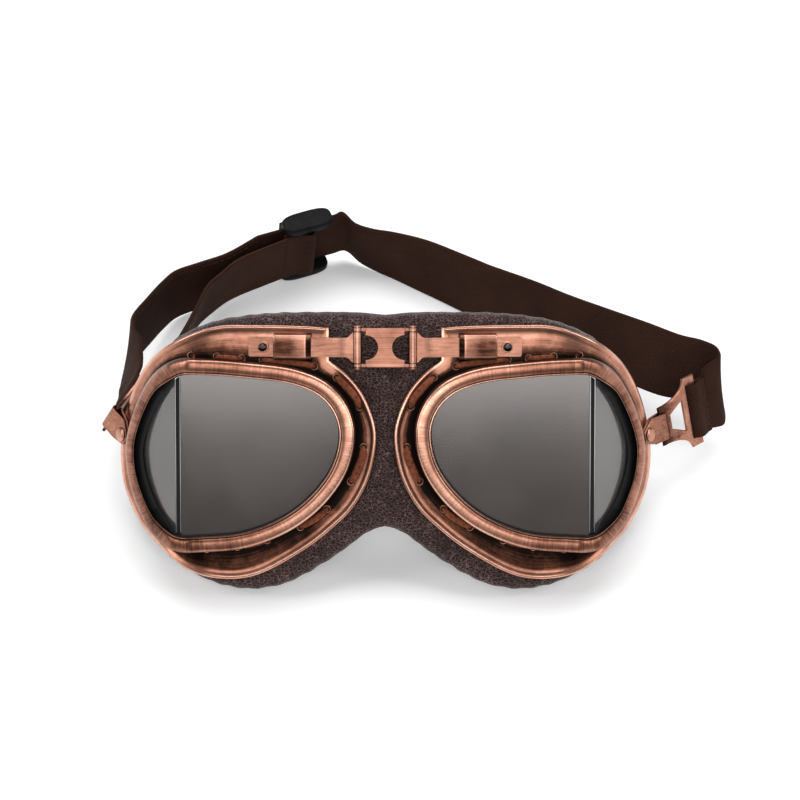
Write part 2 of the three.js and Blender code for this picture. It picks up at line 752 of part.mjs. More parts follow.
function linkGeometry() {
  const [half, high, arm] = [linkWidth / 2, linkHeight / 2, hingeSpacing / 2];
  const plate = block([-half, -linkThick / 2, -high], [half, linkThick / 2, high]);
  const tools = [];
  const knuckles = [];
  for (const side of [-1, 1]) {
    tools.push(barY(linkCut, -linkThick, linkThick, roundSides).translate(side * half, 0, 0));
    tools.push(barZ(pinRadius + turnClear, -2 * high, 2 * high).translate(side * arm, 0, 0));
    for (const end of [-1, 1]) {
      const [low, top] = [end * high, end * (high - armHeight)].sort((a, b) => a - b);
      knuckles.push(barZ(knuckleRadius, low, top).translate(side * arm, 0, 0));
      const [from, to] = [side * (half - 1), side * arm].sort((a, b) => a - b);
      knuckles.push(block([from, -linkThick / 2, low], [to, linkThick / 2, top]));
    }
  }
  return cut(join(plate, ...knuckles), ...tools);
}

function pinGeometry() {
  const high = linkHeight / 2 + turnClear;
  const line = [
    [0, -high - pinHead], [knuckleRadius - 0.2, -high - pinHead], [knuckleRadius - 0.2, -high],
    [pinRadius, -high], [pinRadius, high], [knuckleRadius - 0.2, high],
    [knuckleRadius - 0.2, high + pinHead], [0, high + pinHead],
  ];
  const profile = line.map(([r, z]) => new THREE.Vector2(r, z));
  return new THREE.LatheGeometry(profile, holeSides).rotateX(Math.PI / 2);
}

// Temple pieces, drawn on the flange at the rivet: X out along it, Y back

const earThick = flangeThick * Math.cos(sideSlope);
const foldCentre = -(gap + tabThick + foldRadius);
const stackFront = -2 * (gap + tabThick);

function rivetGeometry() {
  const [front, back] = [stackFront - gap, earThick + gap];
  const line = [
    [0, front - rivetHeadThick], [0.55 * rivetHead, front - rivetHeadThick], [rivetHead, front - 0.3],
    [rivetHead, front], [rivetShank, front], [rivetShank, back], [rivetHead, back],
    [0.8 * rivetHead, back + rivetHeadThick], [0, back + rivetHeadThick],
  ];
  return new THREE.LatheGeometry(line.map(([r, y]) => new THREE.Vector2(r, y)), 14);
}

function tabGeometry() {
  const [inside, outside] = [foldRadius, foldRadius + tabThick];
  const layer = stackFront + tabThick;
  const profile = new THREE.Shape();
  profile.moveTo(-tabBack, foldCentre + outside);
  profile.lineTo(tabReach, foldCentre + outside);
  profile.absarc(tabReach, foldCentre, outside, Math.PI / 2, -Math.PI / 2, true);
  profile.lineTo(tabFlat, stackFront);
  profile.lineTo(-tabBack, stackFront);
  profile.lineTo(-tabBack, layer);
  profile.lineTo(tabFlat, layer);
  profile.lineTo(tabReach, foldCentre - inside);
  profile.absarc(tabReach, foldCentre, inside, -Math.PI / 2, Math.PI / 2, false);
  profile.lineTo(-tabBack, foldCentre + inside);
  const hole = barY(rivetShank + turnClear, stackFront - 2, earThick + 2);
  const corner = (side) => extrudeY(polygon([
    [-2 * tabBack, (side * tabEnd) / 4], [-2 * tabBack, side * tabWidth], [tabFlat, side * tabWidth],
    [tabFlat, (side * tabWidth) / 2 + 0.01 * side], [-tabBack, (side * tabEnd) / 2],
  ]), -2 * tabWidth, tabWidth);
  return cut(extrudeZ(profile, tabWidth), hole, corner(1), corner(-1));
}

// Ring: hinge bar at the origin, then the tab's slot, a window, the strap's slot and the strap bar
const tabSlot = foldRadius + tabThick + turnClear;
const windowAt = tabSlot + ringWeb;
const slotAt = windowAt + ringWindow + ringWeb;
const strapBarAt = slotAt + strapSlot + strapBar / 2;

function ringGeometry() {
  const near = tabWidth / 2 + turnClear + ringSide;
  const far = ringEndWidth / 2;
  const end = strapBarAt + strapBar / 2;
  const slotHalf = loopWidth / 2 + turnClear;
  const tabHalf = tabWidth / 2 + turnClear;
  const outline = new THREE.Shape();
  outline.moveTo(-hingeBar / 2, -near);
  outline.lineTo(tabSlot, -near);
  outline.quadraticCurveTo(slotAt - 1, -near - 1, slotAt, -far);
  outline.lineTo(end, -far);
  outline.lineTo(end, far);
  outline.lineTo(slotAt, far);
  outline.quadraticCurveTo(slotAt - 1, near + 1, tabSlot, near);
  outline.lineTo(-hingeBar / 2, near);
  const [small, wide] = windowWide.map((w) => w / 2);
  const windowEnd = windowAt + ringWindow;
  const hole = (points) => extrudeY(polygon(points), -ringThick, ringThick);
  const box = (from, to, half) => hole([[from, -half], [to, -half], [to, half], [from, half]]);
  const window = hole([[windowAt, -small], [windowEnd, -wide], [windowEnd, wide], [windowAt, small]]);
  return cut(
    extrudeY(outline, -ringThick / 2, ringThick / 2),
    box(hingeBar / 2, tabSlot, tabHalf), window, box(slotAt, slotAt + strapSlot, slotHalf),
  );
}

// Eyes, with their tongues, tabs and rings

function buildEye(side, pose) {
  const eye = new THREE.Group();
  eye.position.set(eyeSpacing / 2, 0, 0);
  piece(eye, `${side}_frame`, frameGeometry(), copper);
  piece(eye, `${side}_bezel`, bezelGeometry(), copper);
  piece(eye, `${side}_lens_gasket`, gasketGeometry(), rubber);
  piece(eye, `${side}_front_lens`, paneGeometry(-1), smokeGlass);
  piece(eye, `${side}_side_lens`, paneGeometry(1), smokeGlass);
  piece(eye, `${side}_lens_divider`, dividerGeometry(), rubber);
  piece(eye, `${side}_lacing`, lacingGeometry(), lace);
  const cover = piece(eye, `${side}_pad_cover`, padCoverGeometry(), leather);
  piece(eye, `${side}_pad_foam`, padFoamGeometry(), foam);

  const brow = new THREE.Group();
  brow.position.set(hingeX, flangeY(hingeX) - hingeForward * browScale, browHeight);
  brow.rotation.z = frontSlope;
  piece(brow, `${side}_tongue`, tongueGeometry(), copper);
  piece(brow, `${side}_stop_stud`, studGeometry(), darkSteel);
  piece(brow, `${side}_keeper`, keeperGeometry(), copper);
  piece(brow, `${side}_hinge_pin`, pinGeometry(), copper);

  const temple = new THREE.Group();
  temple.position.set(rivetOut, flangeY(rivetOut), rivetHeight);
  temple.rotation.z = sideSlope;
  piece(temple, `${side}_tab_rivet`, rivetGeometry(), copper);
  const swivel = new THREE.Group();
  swivel.rotation.y = -pose.swivel;
  piece(swivel, `${side}_strap_tab`, tabGeometry(), copper);
  const ring = new THREE.Group();
  ring.position.set(tabReach, foldCentre, 0);
  ring.rotation.z = pose.fold;
  piece(ring, `${side}_strap_ring`, ringGeometry(), copper);
  swivel.add(ring);
  temple.add(swivel);
  eye.add(brow, temple);
  return { eye, ring, cover };
}

function mirror(group) {
  group.traverse((child) => {
    child.position.x *= -1;
    child.rotation.y *= -1;
    child.rotation.z *= -1;
    if (child.isMesh) child.geometry = flip(mergeVertices(child.geometry.scale(-1, 1, 1)));
  });
}

function nosePadGeometry() {
  const profile = [
    [nosePadFront, padArch], [nosePadFront, padTop - nosePadEdge], [nosePadFront + nosePadEdge, padTop],
    [nosePadBack - nosePadEdge, padTop], [nosePadBack, padTop - nosePadEdge], [nosePadBack, nosePadWaist],
    [nosePadBack - nosePadThin, padArch],
  ];
  const half = nosePadWidth / 2;
  const centre = new THREE.Vector2((nosePadFront + nosePadBack) / 2, (padTop + padArch) / 2);
  const section = (x, inset) => profile.map(([y, z]) => {
    const towards = new THREE.Vector2(y, z).sub(centre);
    const at = towards.multiplyScalar(1 - inset / towards.length()).add(centre);
    return new THREE.Vector3(x, at.x, at.y);
  });
  const round = nosePadRound;
  const ends = [section(-half, round), section(round - half, 0)];
  return run([...ends, section(half - round, 0), section(half, round)]);
}

const goggles = new THREE.Group();
goggles.rotation.x = -leanBack;
const right = buildEye('right', rightTab);
const left = buildEye('left', leftTab);
mirror(left.eye);
const link = new THREE.Group();
link.position.set(0, flangeY(hingeX) - hingeForward * browScale, browHeight);
piece(link, 'bridge_link', linkGeometry(), copper);
goggles.add(right.eye, left.eye, link);
piece(goggles, 'nose_pad', nosePadGeometry(), leather);

// Set the goggles on the table, with the pads flattened where they rest
goggles.updateMatrixWorld(true);
goggles.position.z = -restFlat - new THREE.Box3().setFromObject(right.cover, true).min.z;
goggles.updateMatrixWorld(true);
for (const { cover } of [right, left]) {
  const table = block([-300, -300, -100], [300, 300, 0]);
  cover.geometry = cut(cover.geometry, table.applyMatrix4(cover.matrixWorld.clone().invert()));
}

// Strap: stations along it, each a centre, an across direction and a half width

const up = new THREE.Vector3(0, 0, 1);

function station(at, across, half) {
  return { at, across: across.clone().normalize(), half };
}

// Stations of a route that stands on its edge, leaning out by the angle given
function standing(route) {
  return route.map(([x, y, foot, lean], i) => {
    const before = route[Math.max(i - 1, 0)];
    const after = route[Math.min(i + 1, route.length - 1)];
    const along = new THREE.Vector3(after[0] - before[0], after[1] - before[1], 0).normalize();
    const out = new THREE.Vector3(along.y, -along.x, 0);
    const tilt = degToRad(lean);
    const across = up.clone().multiplyScalar(Math.cos(tilt)).addScaledVector(out, Math.sin(tilt));
    const half = strapWidth / 2;
    return station(new THREE.Vector3(x, y, foot + half * Math.cos(tilt)), across, half);
  });
}

// A hairpin round a bar: in along one side, round the back, out along the other
function hairpin(bar, radius, half, legIn, legOut) {
  const { at, axis, out } = bar;
  const side = new THREE.Vector3().crossVectors(axis, out).normalize();
  const point = ([along, across]) => at.clone().addScaledVector(out, along).addScaledVector(side, across);
  const turns = Array.from({ length: 9 }, (_, i) => (i / 8) * Math.PI);
  const round = turns.map((turn) => [-radius * Math.sin(turn), -radius * Math.cos(turn)]);
  return [...legIn, ...round, ...legOut].map((p) => station(point(p), axis, half));
}

// A ribbon through its stations, cut short at each end by half a gap
function ribbon(stations, perSpan) {
  const knots = (side) => stations.map((s) => s.at.clone().addScaledVector(s.across, side * s.half));
  const upper = new THREE.CatmullRomCurve3(knots(1), false, 'centripetal');
  const lower = new THREE.CatmullRomCurve3(knots(-1), false, 'centripetal');
  const count = (stations.length - 1) * perSpan;
  const sections = [];
  for (let i = 0; i <= count; i += 1) {
    const t = Math.min(Math.max(i / count, 1e-4), 1 - 1e-4);
    const [a, b] = [upper.getPoint(t), lower.getPoint(t)];
    const along = upper.getTangent(t).add(lower.getTangent(t)).normalize();
    const shift = i === 0 ? gap / 2 : i === count ? -gap / 2 : 0;
    const out = new THREE.Vector3().crossVectors(along, a.clone().sub(b)).normalize();
    const corner = (p, side) => p.clone().addScaledVector(along, shift)
      .addScaledVector(out, (side * strapThick) / 2);
    sections.push([corner(a, 1), corner(a, -1), corner(b, -1), corner(b, 1)]);
  }
  return run(sections);
}

// The strap bar of a ring, as it lies on the table
function barOf(ring, side) {
  const at = ring.localToWorld(new THREE.Vector3(side * strapBarAt, 0, 0));
  const from = ring.localToWorld(new THREE.Vector3());
  const axis = ring.localToWorld(new THREE.Vector3(0, 0, 1)).sub(from).normalize();
  return { at, axis, out: at.clone().sub(from).normalize() };
}

const loopRadius = Math.hypot(strapBar, ringThick) / 2 + loopRoom + strapThick / 2;
const rightBar = barOf(right.ring, 1);
const leftBar = barOf(left.ring, -1);
const straight = [0, 0.12, 0.5, 1].map((share) => {
  const at = slideFrom.map((from, i) => lerp(from, slideTo[i], share));
  return [...at, slideFoot, slideLean];
});

const sewn = (strapThick + layerGap) / 2;
const sewnLegs = (length) => [
  [[length - sewnShort, -sewn], [sewnFrom, -sewn]],
  [[sewnFrom, sewn], [length, sewn]],
];
const openLegs = [
  [[openLeg, -loopRadius - 0.6], [openLeg / 2, -loopRadius - 0.3]],
  [[openLeg / 2, loopRadius + 0.8], [openLeg, loopRadius + 2.4]],
];
const rightLoop = hairpin(rightBar, loopRadius, loopWidth / 2, ...sewnLegs(loopLeg));
const leftLoop = hairpin(leftBar, loopRadius, loopWidth / 2, ...openLegs);
const rightSpan = [rightLoop.at(-1), ...standing([...rightRoute, ...backRoute]).slice(0, rightRoute.length)];
const backStations = standing([...rightRoute, ...backRoute, ...straight]).slice(rightRoute.length);
const backSpan = [rightSpan.at(-1), ...backStations];
const leftStations = standing([...straight, ...leftRoute]).slice(straight.length);
const leftSpan = [backSpan.at(-1), ...leftStations, leftLoop.at(-1)];

const strapGroup = new THREE.Group();
piece(strapGroup, 'strap_right_loop', ribbon(rightLoop, 1), elastic);
piece(strapGroup, 'strap_right', ribbon(rightSpan, 2), elastic);
piece(strapGroup, 'strap_back', ribbon(backSpan, 2), elastic);
piece(strapGroup, 'strap_left_outer', ribbon(leftSpan, 2), elastic);
piece(strapGroup, 'strap_left_loop', ribbon(leftLoop, 1), elastic);

// Slider on the straight stretch: X along the strap to the right, Y out from the head, Z up its width
const sliderHalf = strapWidth / 2 + gap;
const barTurn = Math.hypot(sliderBar, sliderBarThick) / 2 + loopRoom / 2 + strapThick / 2;
const middleBarY = -(strapThick + layerGap + barTurn);
const outerBarY = strapThick / 2 + loopRoom + sliderBarThick / 2;

function sliderGeometry() {
  const [half, bar, thick] = [sliderLength / 2, sliderBar / 2, sliderBarThick / 2];
  const [front, back] = [middleBarY - thick, outerBarY + thick];
  const top = sliderHalf + sliderEnd;
  const parts = [];
  for (const end of [-1, 1]) {
    const [low, high] = [end * sliderHalf, end * top].sort((a, b) => a - b);
    parts.push(block([-half, front, low], [half, back, high]));
    const at = end * (half - bar);
    parts.push(block([at - bar, outerBarY - thick, -top], [at + bar, outerBarY + thick, top]));
  }
  parts.push(block([-bar, middleBarY - thick, -top], [bar, middleBarY + thick, top]));
  return join(...parts);
}

const along = new THREE.Vector3(slideTo[0] - slideFrom[0], slideTo[1] - slideFrom[1], 0).normalize();
const lean = standing(straight)[2];
const across = lean.across.clone().addScaledVector(along, -lean.across.dot(along)).normalize();
const inwardsAlong = along.clone().negate();
const outwards = new THREE.Vector3().crossVectors(across, inwardsAlong);
const sliderCentre = standing(straight)[0].at.clone().lerp(standing(straight).at(-1).at, sliderAt);
const slider = new THREE.Group();
slider.position.copy(sliderCentre);
slider.quaternion.setFromRotationMatrix(new THREE.Matrix4().makeBasis(inwardsAlong, outwards, across));
piece(slider, 'strap_slider', sliderGeometry(), blackPlastic);
slider.updateMatrixWorld(true);

// The strap's sewn end, round the slider's middle bar, and the inner layer that leads to it
const middleBar = {
  at: slider.localToWorld(new THREE.Vector3(0, middleBarY, 0)),
  axis: across,
  out: along,
};
const endLoop = hairpin(middleBar, barTurn, strapWidth / 2, ...sewnLegs(endLeg));
const innerSpan = [leftLoop[0], ...standing(innerRoute), endLoop.at(-1)];
piece(strapGroup, 'strap_left_inner', ribbon(innerSpan, 2), elastic);
piece(strapGroup, 'strap_sewn_end', ribbon(endLoop, 1), elastic);

// Centre the whole on its footprint
const part = new THREE.Group();
const whole = new THREE.Group();
whole.add(goggles, strapGroup, slider);
whole.updateMatrixWorld(true);
const box = new THREE.Box3().setFromObject(whole, true);
whole.position.set(-(box.min.x + box.max.x) / 2, -(box.min.y + box.max.y) / 2, -box.min.z);
part.add(whole);

export default part;
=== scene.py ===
import bisect
import json
from itertools import accumulate
from math import asin, atan2, copysign, cos, hypot, pi, radians, sin, tan

import bmesh
import bpy
from mathutils import Matrix, Vector, noise


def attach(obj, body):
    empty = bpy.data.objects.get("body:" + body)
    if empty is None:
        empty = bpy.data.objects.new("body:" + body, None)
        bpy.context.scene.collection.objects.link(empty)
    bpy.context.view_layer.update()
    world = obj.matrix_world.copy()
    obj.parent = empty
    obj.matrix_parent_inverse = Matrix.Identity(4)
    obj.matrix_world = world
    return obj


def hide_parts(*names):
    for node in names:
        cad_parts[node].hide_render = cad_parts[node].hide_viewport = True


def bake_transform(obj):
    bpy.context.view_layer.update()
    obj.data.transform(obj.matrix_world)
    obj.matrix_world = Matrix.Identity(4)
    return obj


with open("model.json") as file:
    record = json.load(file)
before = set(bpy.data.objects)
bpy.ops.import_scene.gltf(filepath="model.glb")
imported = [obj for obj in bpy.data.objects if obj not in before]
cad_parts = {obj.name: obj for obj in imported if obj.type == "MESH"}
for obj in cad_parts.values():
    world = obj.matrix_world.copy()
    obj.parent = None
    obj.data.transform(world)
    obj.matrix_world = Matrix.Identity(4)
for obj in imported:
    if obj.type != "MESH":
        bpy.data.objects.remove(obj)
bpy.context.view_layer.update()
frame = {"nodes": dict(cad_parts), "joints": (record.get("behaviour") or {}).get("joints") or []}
mm = 0.001
fullTurn = 2 * pi
sides = ("right", "left")
print("frame loaded:", len(frame["nodes"]), "nodes")


# Places: the goggles' own frame has X out from the middle, Y back from the front and Z up, in mm

joints = {j["name"]: j for j in frame["joints"]}
upAxis = Vector(joints["right_bridge_hinge"]["axis"])
leanTurn = Matrix.Rotation(-atan2(upAxis.y, upAxis.z), 4, "X")
hinge = dict(out=9.4, depth=10.331, height=33.5)  # hinge axis in the goggles' frame
hingeMiddle = sum((Vector(joints[f"{side}_bridge_hinge"]["pos_m"]) for side in sides), Vector()) / 2
gogglesAt = hingeMiddle - leanTurn @ (Vector((0, hinge["depth"], hinge["height"])) * mm)
toRow = Matrix.Translation(gogglesAt) @ leanTurn @ Matrix.Scale(mm, 4)
tableAt = Vector((gogglesAt.x, gogglesAt.y, 0))  # under the goggles' origin, where the strap's route starts
onTable = Matrix.Translation(tableAt) @ Matrix.Scale(mm, 4)
mirrors = dict(right=Matrix.Identity(4), left=Matrix.Scale(-1, 4, (1, 0, 0)))


def placed(side, local):
    return toRow @ mirrors[side] @ local


def smooth(x, low, high):
    t = min(max((x - low) / (high - low), 0), 1)
    return t * t * (3 - 2 * t)


def mix(a, b, t):
    return a + (b - a) * t


def signedPower(value, power):
    return copysign(abs(value) ** power, value)


def turnsOf(count):
    return [fullTurn * i / count for i in range(count)]


def circle(radius, z, count):
    return [Vector((radius * cos(t), radius * sin(t), z)) for t in turnsOf(count)]


# Node trees: a wrapped socket, with sums written as Python

class Wire:
    def __init__(self, tree, socket=None):
        self.tree = tree
        self.socket = socket

    def node(self, kind, settings=None, inputs=None, out=0):
        made = self.tree.nodes.new(kind)
        for key, value in (settings or {}).items():
            setattr(made, key, value)
        for key, value in (inputs or {}).items():
            if isinstance(value, Wire):
                self.tree.links.new(value.socket, made.inputs[key])
            else:
                made.inputs[key].default_value = value
        return Wire(self.tree, made.outputs[out] if len(made.outputs) else None)

    def other(self, out):
        return Wire(self.tree, self.socket.node.outputs[out])

    def sum(self, operation, a, b=0):
        return self.node("ShaderNodeMath", {"operation": operation}, {0: a, 1: b})

    def __add__(self, b):
        return self.sum("ADD", self, b)

    def __radd__(self, b):
        return self.sum("ADD", b, self)

    def __sub__(self, b):
        return self.sum("SUBTRACT", self, b)

    def __rsub__(self, b):
        return self.sum("SUBTRACT", b, self)

    def __mul__(self, b):
        return self.sum("MULTIPLY", self, b)

    def __rmul__(self, b):
        return self.sum("MULTIPLY", b, self)

    def __truediv__(self, b):
        return self.sum("DIVIDE", self, b)


# A material from constants, and from a function of object coordinates that gives wires for other sockets
def finish(name, wires, *given, **constants):
    material = bpy.data.materials.new(name)
    material.use_nodes = True
    inputs = material.node_tree.nodes["Principled BSDF"].inputs
    for key, value in constants.items():
        inputs[key.replace("_", " ")].default_value = (*value, 1) if isinstance(value, tuple) else value
    place = Wire(material.node_tree).node("ShaderNodeTexCoord", out="Object")
    for key, wire in wires(place, *given).items():
        wire.tree.links.new(wire.socket, inputs[key.replace("_", " ")])
    return material


def bumped(height, strength, distance):
    return height.node("ShaderNodeBump", {}, {"Height": height, "Strength": strength, "Distance": distance})


def noiseOn(vector, scale, detail=3.0, rough=0.55):
    return vector.node("ShaderNodeTexNoise", {}, {
        "Vector": vector, "Scale": scale, "Detail": detail, "Roughness": rough})


def scaled(vector, scale):
    return vector.node("ShaderNodeMapping", {}, {"Vector": vector, "Scale": scale})


def ramp(factor, *stops):
    made = factor.node("ShaderNodeValToRGB", {}, {"Fac": factor})
    elements = made.socket.node.color_ramp.elements
    while len(elements) < len(stops):
        elements.new(0.5)
    for element, (at, color) in zip(elements, stops):
        element.position = at
        element.color = (*color, 1)
    return made


# Finishes. UV maps are in mm: U along a piece, V across it

def uvMap(wire):
    return wire.node("ShaderNodeUVMap", {"uv_map": "UVMap"})


def uvSplit(wire):
    split = wire.node("ShaderNodeSeparateXYZ", {}, {"Vector": uvMap(wire)})
    return split.other("X"), split.other("Y")


copperLook = dict(
    dark=(0.009, 0.006, 0.005), brown=(0.095, 0.036, 0.021), copper=(0.42, 0.19, 0.128),
    bright=(0.82, 0.46, 0.335), cloudScale=95.0, blotchScale=520.0, broadScale=0.22,
)
brushedGrain = dict(wear=0.8, streak=0.46, blotch=0.3, rough=0.35, bump=0.16)
plateGrain = dict(wear=0.64, streak=0.35, blotch=0.12, rough=0.44, bump=0.07)


# Streaks are scaled per mm on the UV map, or per metre where it isn't used
def copperWires(place, streakScale, onUv, grain):
    look = copperLook
    vector = uvMap(place) if onUv else place
    streak = noiseOn(scaled(vector, streakScale), 1.0, 4.0, 0.65)
    broad = noiseOn(scaled(vector, tuple(s * look["broadScale"] for s in streakScale)), 1.0, 2.0)
    cloud = noiseOn(place, look["cloudScale"])
    blotch = noiseOn(place, look["blotchScale"], 4.0, 0.7)
    # This attribute carries worn bright edges and, on some parts, painted highlights and painted shade
    wear = place.node("ShaderNodeAttribute", {"attribute_name": "wear"}, out="Fac")
    shine = wear * grain["wear"] + (cloud - 0.5) * 0.5 + (streak - 0.5) * grain["streak"]
    shine = shine + (broad - 0.5) * 0.4 + (blotch - 0.5) * grain["blotch"] + 0.06
    stops = (0.04, look["dark"]), (0.26, look["brown"]), (0.56, look["copper"]), (0.98, look["bright"])
    return dict(Base_Color=ramp(shine, *stops),
                Roughness=grain["rough"] - shine * 0.10 + (streak - 0.5) * 0.16,
                Normal=bumped(streak * 0.7 + broad * 0.3, grain["bump"], 0.00012))


# Rubber or plastic: a fine grain under broad scuffs
def mouldedWires(place, grain, scuffs, stops, rough, bump):
    scuff = noiseOn(place, *scuffs)
    return dict(Base_Color=ramp(scuff, *stops), Roughness=rough + (scuff - 0.5) * 0.2,
                Normal=bumped(noiseOn(place, *grain), *bump))


def smokeWires(place, shade, alpha):
    # Soft lighter and darker clouds in the tint: partly the glass's own haze, partly painted reflection
    hazeAndReflection = noiseOn(place, 28.0, 2.0)
    smear = noiseOn(place, 150.0, 4.0, 0.65)
    tint = ramp(hazeAndReflection, (0.3, tuple(c * 0.5 for c in shade)), (0.7, tuple(c * 1.6 for c in shade)))
    return dict(Base_Color=tint, Roughness=0.10 + smear * 0.04, Alpha=alpha + (hazeAndReflection - 0.5) * 0.05)


leatherLook = dict(
    pit=(0.0150, 0.0062, 0.0056), skin=(0.037, 0.0178, 0.0158), ridge=(0.24, 0.150, 0.134),
    cellsPerMetre=1050.0, finer=2.1, warp=0.0011, acrossScale=0.72,
)


# A net of raised lines round dark pits, a little longer across the face; the light colour of the lines is a
# painted highlight
def leatherWires(place):
    look = leatherLook
    warp = noiseOn(place, 700.0, 1.0).other("Color")
    bent = place.node("ShaderNodeVectorMath", {"operation": "MULTIPLY_ADD"}, {
        0: warp, 1: (look["warp"],) * 3, 2: place})
    longer = scaled(bent, (look["acrossScale"], 1, 1))
    crease = noiseOn(place, 130.0, 4.0, 0.6)

    def net(scale, width):
        edge = place.node("ShaderNodeTexVoronoi", {"feature": "DISTANCE_TO_EDGE"}, {
            "Vector": longer, "Scale": scale})
        return place.node("ShaderNodeMapRange", {"interpolation_type": "SMOOTHSTEP"}, {
            "Value": edge, "From Min": 0.0, "From Max": width, "To Min": 1.0, "To Max": 0.0})

    cells = look["cellsPerMetre"]
    height = place.sum("MAXIMUM", net(cells, 0.15), net(cells * look["finer"], 0.12) * 0.4)
    tone = ramp(height * 0.75 + (crease - 0.5) * 0.7 + 0.08,
                (0.05, look["pit"]), (0.45, look["skin"]), (1.0, look["ridge"]))
    return dict(Base_Color=tone, Roughness=0.46 - height * 0.14 + (crease - 0.5) * 0.2,
                Normal=bumped(height * 0.8 + crease * 0.6, 0.6, 0.0004))


elasticLook = dict(base=(0.014175, 0.006075, 0.00405), ridge=(0.0702, 0.030375, 0.019575),
                   ribMm=0.8, pickMm=0.62)


# Woven ribs along the strap, with picks that shift by half from rib to rib
def elasticWires(place):
    look = elasticLook
    along, across = uvSplit(place)
    sway = noiseOn(place, 60.0, 2.0)
    fuzz = noiseOn(place, 2600.0, 2.0)
    rib = place.sum("SINE", across * (fullTurn / look["ribMm"])) * 0.5 + 0.5
    shift = place.sum("FLOOR", across / look["ribMm"]) * pi
    pick = place.sum("SINE", along * (fullTurn / look["pickMm"]) + shift) * 0.5 + 0.5
    weave = rib * 0.55 + pick * 0.45
    tone = ramp(weave * 0.7 + (fuzz - 0.5) * 0.5 + (sway - 0.5) * 0.5 + 0.05,
                (0.1, look["base"]), (0.95, look["ridge"]))
    return dict(Base_Color=tone, Roughness=0.82 - weave * 0.12,
                Normal=bumped(weave * 0.8 + fuzz * 0.2, 0.5, 0.0003))


def laceWires(place, dark, light):
    along, across = uvSplit(place)
    along, across = along * 2.6, across * 2.4
    strands = place.sum("SINE", along + across), place.sum("SINE", along - across)
    braid = place.sum("MAXIMUM", *strands) * 0.5 + 0.5
    fibre = noiseOn(place, 1500.0)
    scuff = noiseOn(place, 420.0)
    tone = ramp(braid * 0.2 + (fibre - 0.5) * 0.5 + scuff * 0.7, (0.1, dark), (0.9, light))
    return dict(Base_Color=tone, Roughness=0.7 - scuff * 0.2,
                Normal=bumped(braid * 0.3 + fibre * 0.7, 0.3, 0.0002))


def studWires(place):
    scuff = noiseOn(place, 900.0)
    tone = ramp(scuff, (0.3, (0.03, 0.026, 0.025)), (0.8, (0.14, 0.12, 0.115)))
    return dict(Base_Color=tone, Roughness=0.24 + scuff * 0.12)


glass = dict(Specular_IOR_Level=1.0, Specular_Tint=(1.0, 0.92, 0.89), Coat_Weight=0.5, Coat_Roughness=0.12)
ringCopper = finish("copperBrushedAlong", copperWires, (0.12, 6.0, 1.0), True, brushedGrain, Metallic=1.0)
crossCopper = finish("copperBrushedAcross", copperWires, (6.0, 0.12, 1.0), True, brushedGrain, Metallic=1.0)
plateCopper = finish("copperPlates", copperWires, (120.0, 6000.0, 6000.0), False, plateGrain, Metallic=1.0)
blackRubber = finish("blackRubber", mouldedWires, (1400.0,), (160.0, 2.0), (
    (0.25, (0.0033, 0.0033, 0.0036)), (0.75, (0.0088, 0.0088, 0.0096))), 0.6, (0.12, 0.00008),
    Specular_IOR_Level=0.2)
smokePane = finish("smokePane", smokeWires, (0.043, 0.034, 0.031), 0.88, **glass)
# The side pane is a lighter copy of the same smoke glass: painted light where it looks towards the pale floor
# and side lamps
sidePane = finish("sidePane", smokeWires, (0.054, 0.053, 0.053), 0.86, **glass)
pebbledLeather = finish("pebbledLeather", leatherWires, Specular_IOR_Level=0.2)
strapElastic = finish("strapElastic", elasticWires, Specular_IOR_Level=0.06)
laceCord = finish("laceCord", laceWires, (0.034, 0.009, 0.005), (0.36, 0.105, 0.048), Specular_IOR_Level=0.12)
strapThread = finish("strapThread", laceWires, (0.020, 0.009, 0.006), (0.085, 0.036, 0.022),
                     Specular_IOR_Level=0.12)
blackPlastic = finish("blackPlastic", mouldedWires, (2200.0, 2.0), (240.0, 4.0, 0.7), (
    (0.3, (0.0045, 0.0045, 0.005)), (0.8, (0.013, 0.013, 0.0145))), 0.42, (0.1, 0.00006),
    Specular_IOR_Level=0.07)
darkStud = finish("darkStud", studWires, Metallic=1.0)
print("finishes made:", len(bpy.data.materials))


# Meshes

class Shell:
    def __init__(self):
        self.points = []
        self.faces = []
        self.uvs = []
        self.wear = []

    def add(self, other, turn=None):
        base = len(self.points)
        self.points += [turn @ p if turn else p for p in other.points]
        flipped = turn is not None and turn.determinant() < 0
        for face, uv in zip(other.faces, other.uvs):
            face = tuple(base + i for i in face)
            self.faces.append(face[::-1] if flipped else face)
            self.uvs.append(uv[::-1] if flipped else uv)
        self.wear += other.wear
        return self


# A section carried along: lines[s][i] is section point s at step i. Wear and painted light is for all, by
# line or by point
def loft(lines, wear, closedAlong=True, closedSection=True):
    shell = Shell()
    steps, count = len(lines[0]), len(lines)
    rows = wear if isinstance(wear, list) else [wear] * count
    shell.points = [p for line in lines for p in line]
    shell.wear = [w for row in rows for w in (row if isinstance(row, list) else [row] * steps)]
    sampled = range(0, steps, 7)
    along = [0.0, *accumulate(sum((line[(i + 1) % steps] - line[i]).length for line in lines) / count
                              for i in range(steps))]
    across = [0.0, *accumulate(sum((after[i] - before[i]).length for i in sampled) / len(sampled)
                               for before, after in zip(lines, lines[1:] + lines[:1]))]
    for s in range(count if closedSection else count - 1):
        t = (s + 1) % count
        for i in range(steps if closedAlong else steps - 1):
            j = (i + 1) % steps
            shell.faces.append((s * steps + i, s * steps + j, t * steps + j, t * steps + i))
            shell.uvs.append(((along[i], across[s]), (along[i + 1], across[s]),
                              (along[i + 1], across[s + 1]), (along[i], across[s + 1])))
    if not closedAlong:
        for i, turn in ((0, 1), (steps - 1, -1)):
            shell.faces.append(tuple(s * steps + i for s in range(count))[::turn])
            shell.uvs.append(tuple((along[i], across[s]) for s in range(count))[::turn])
    return shell


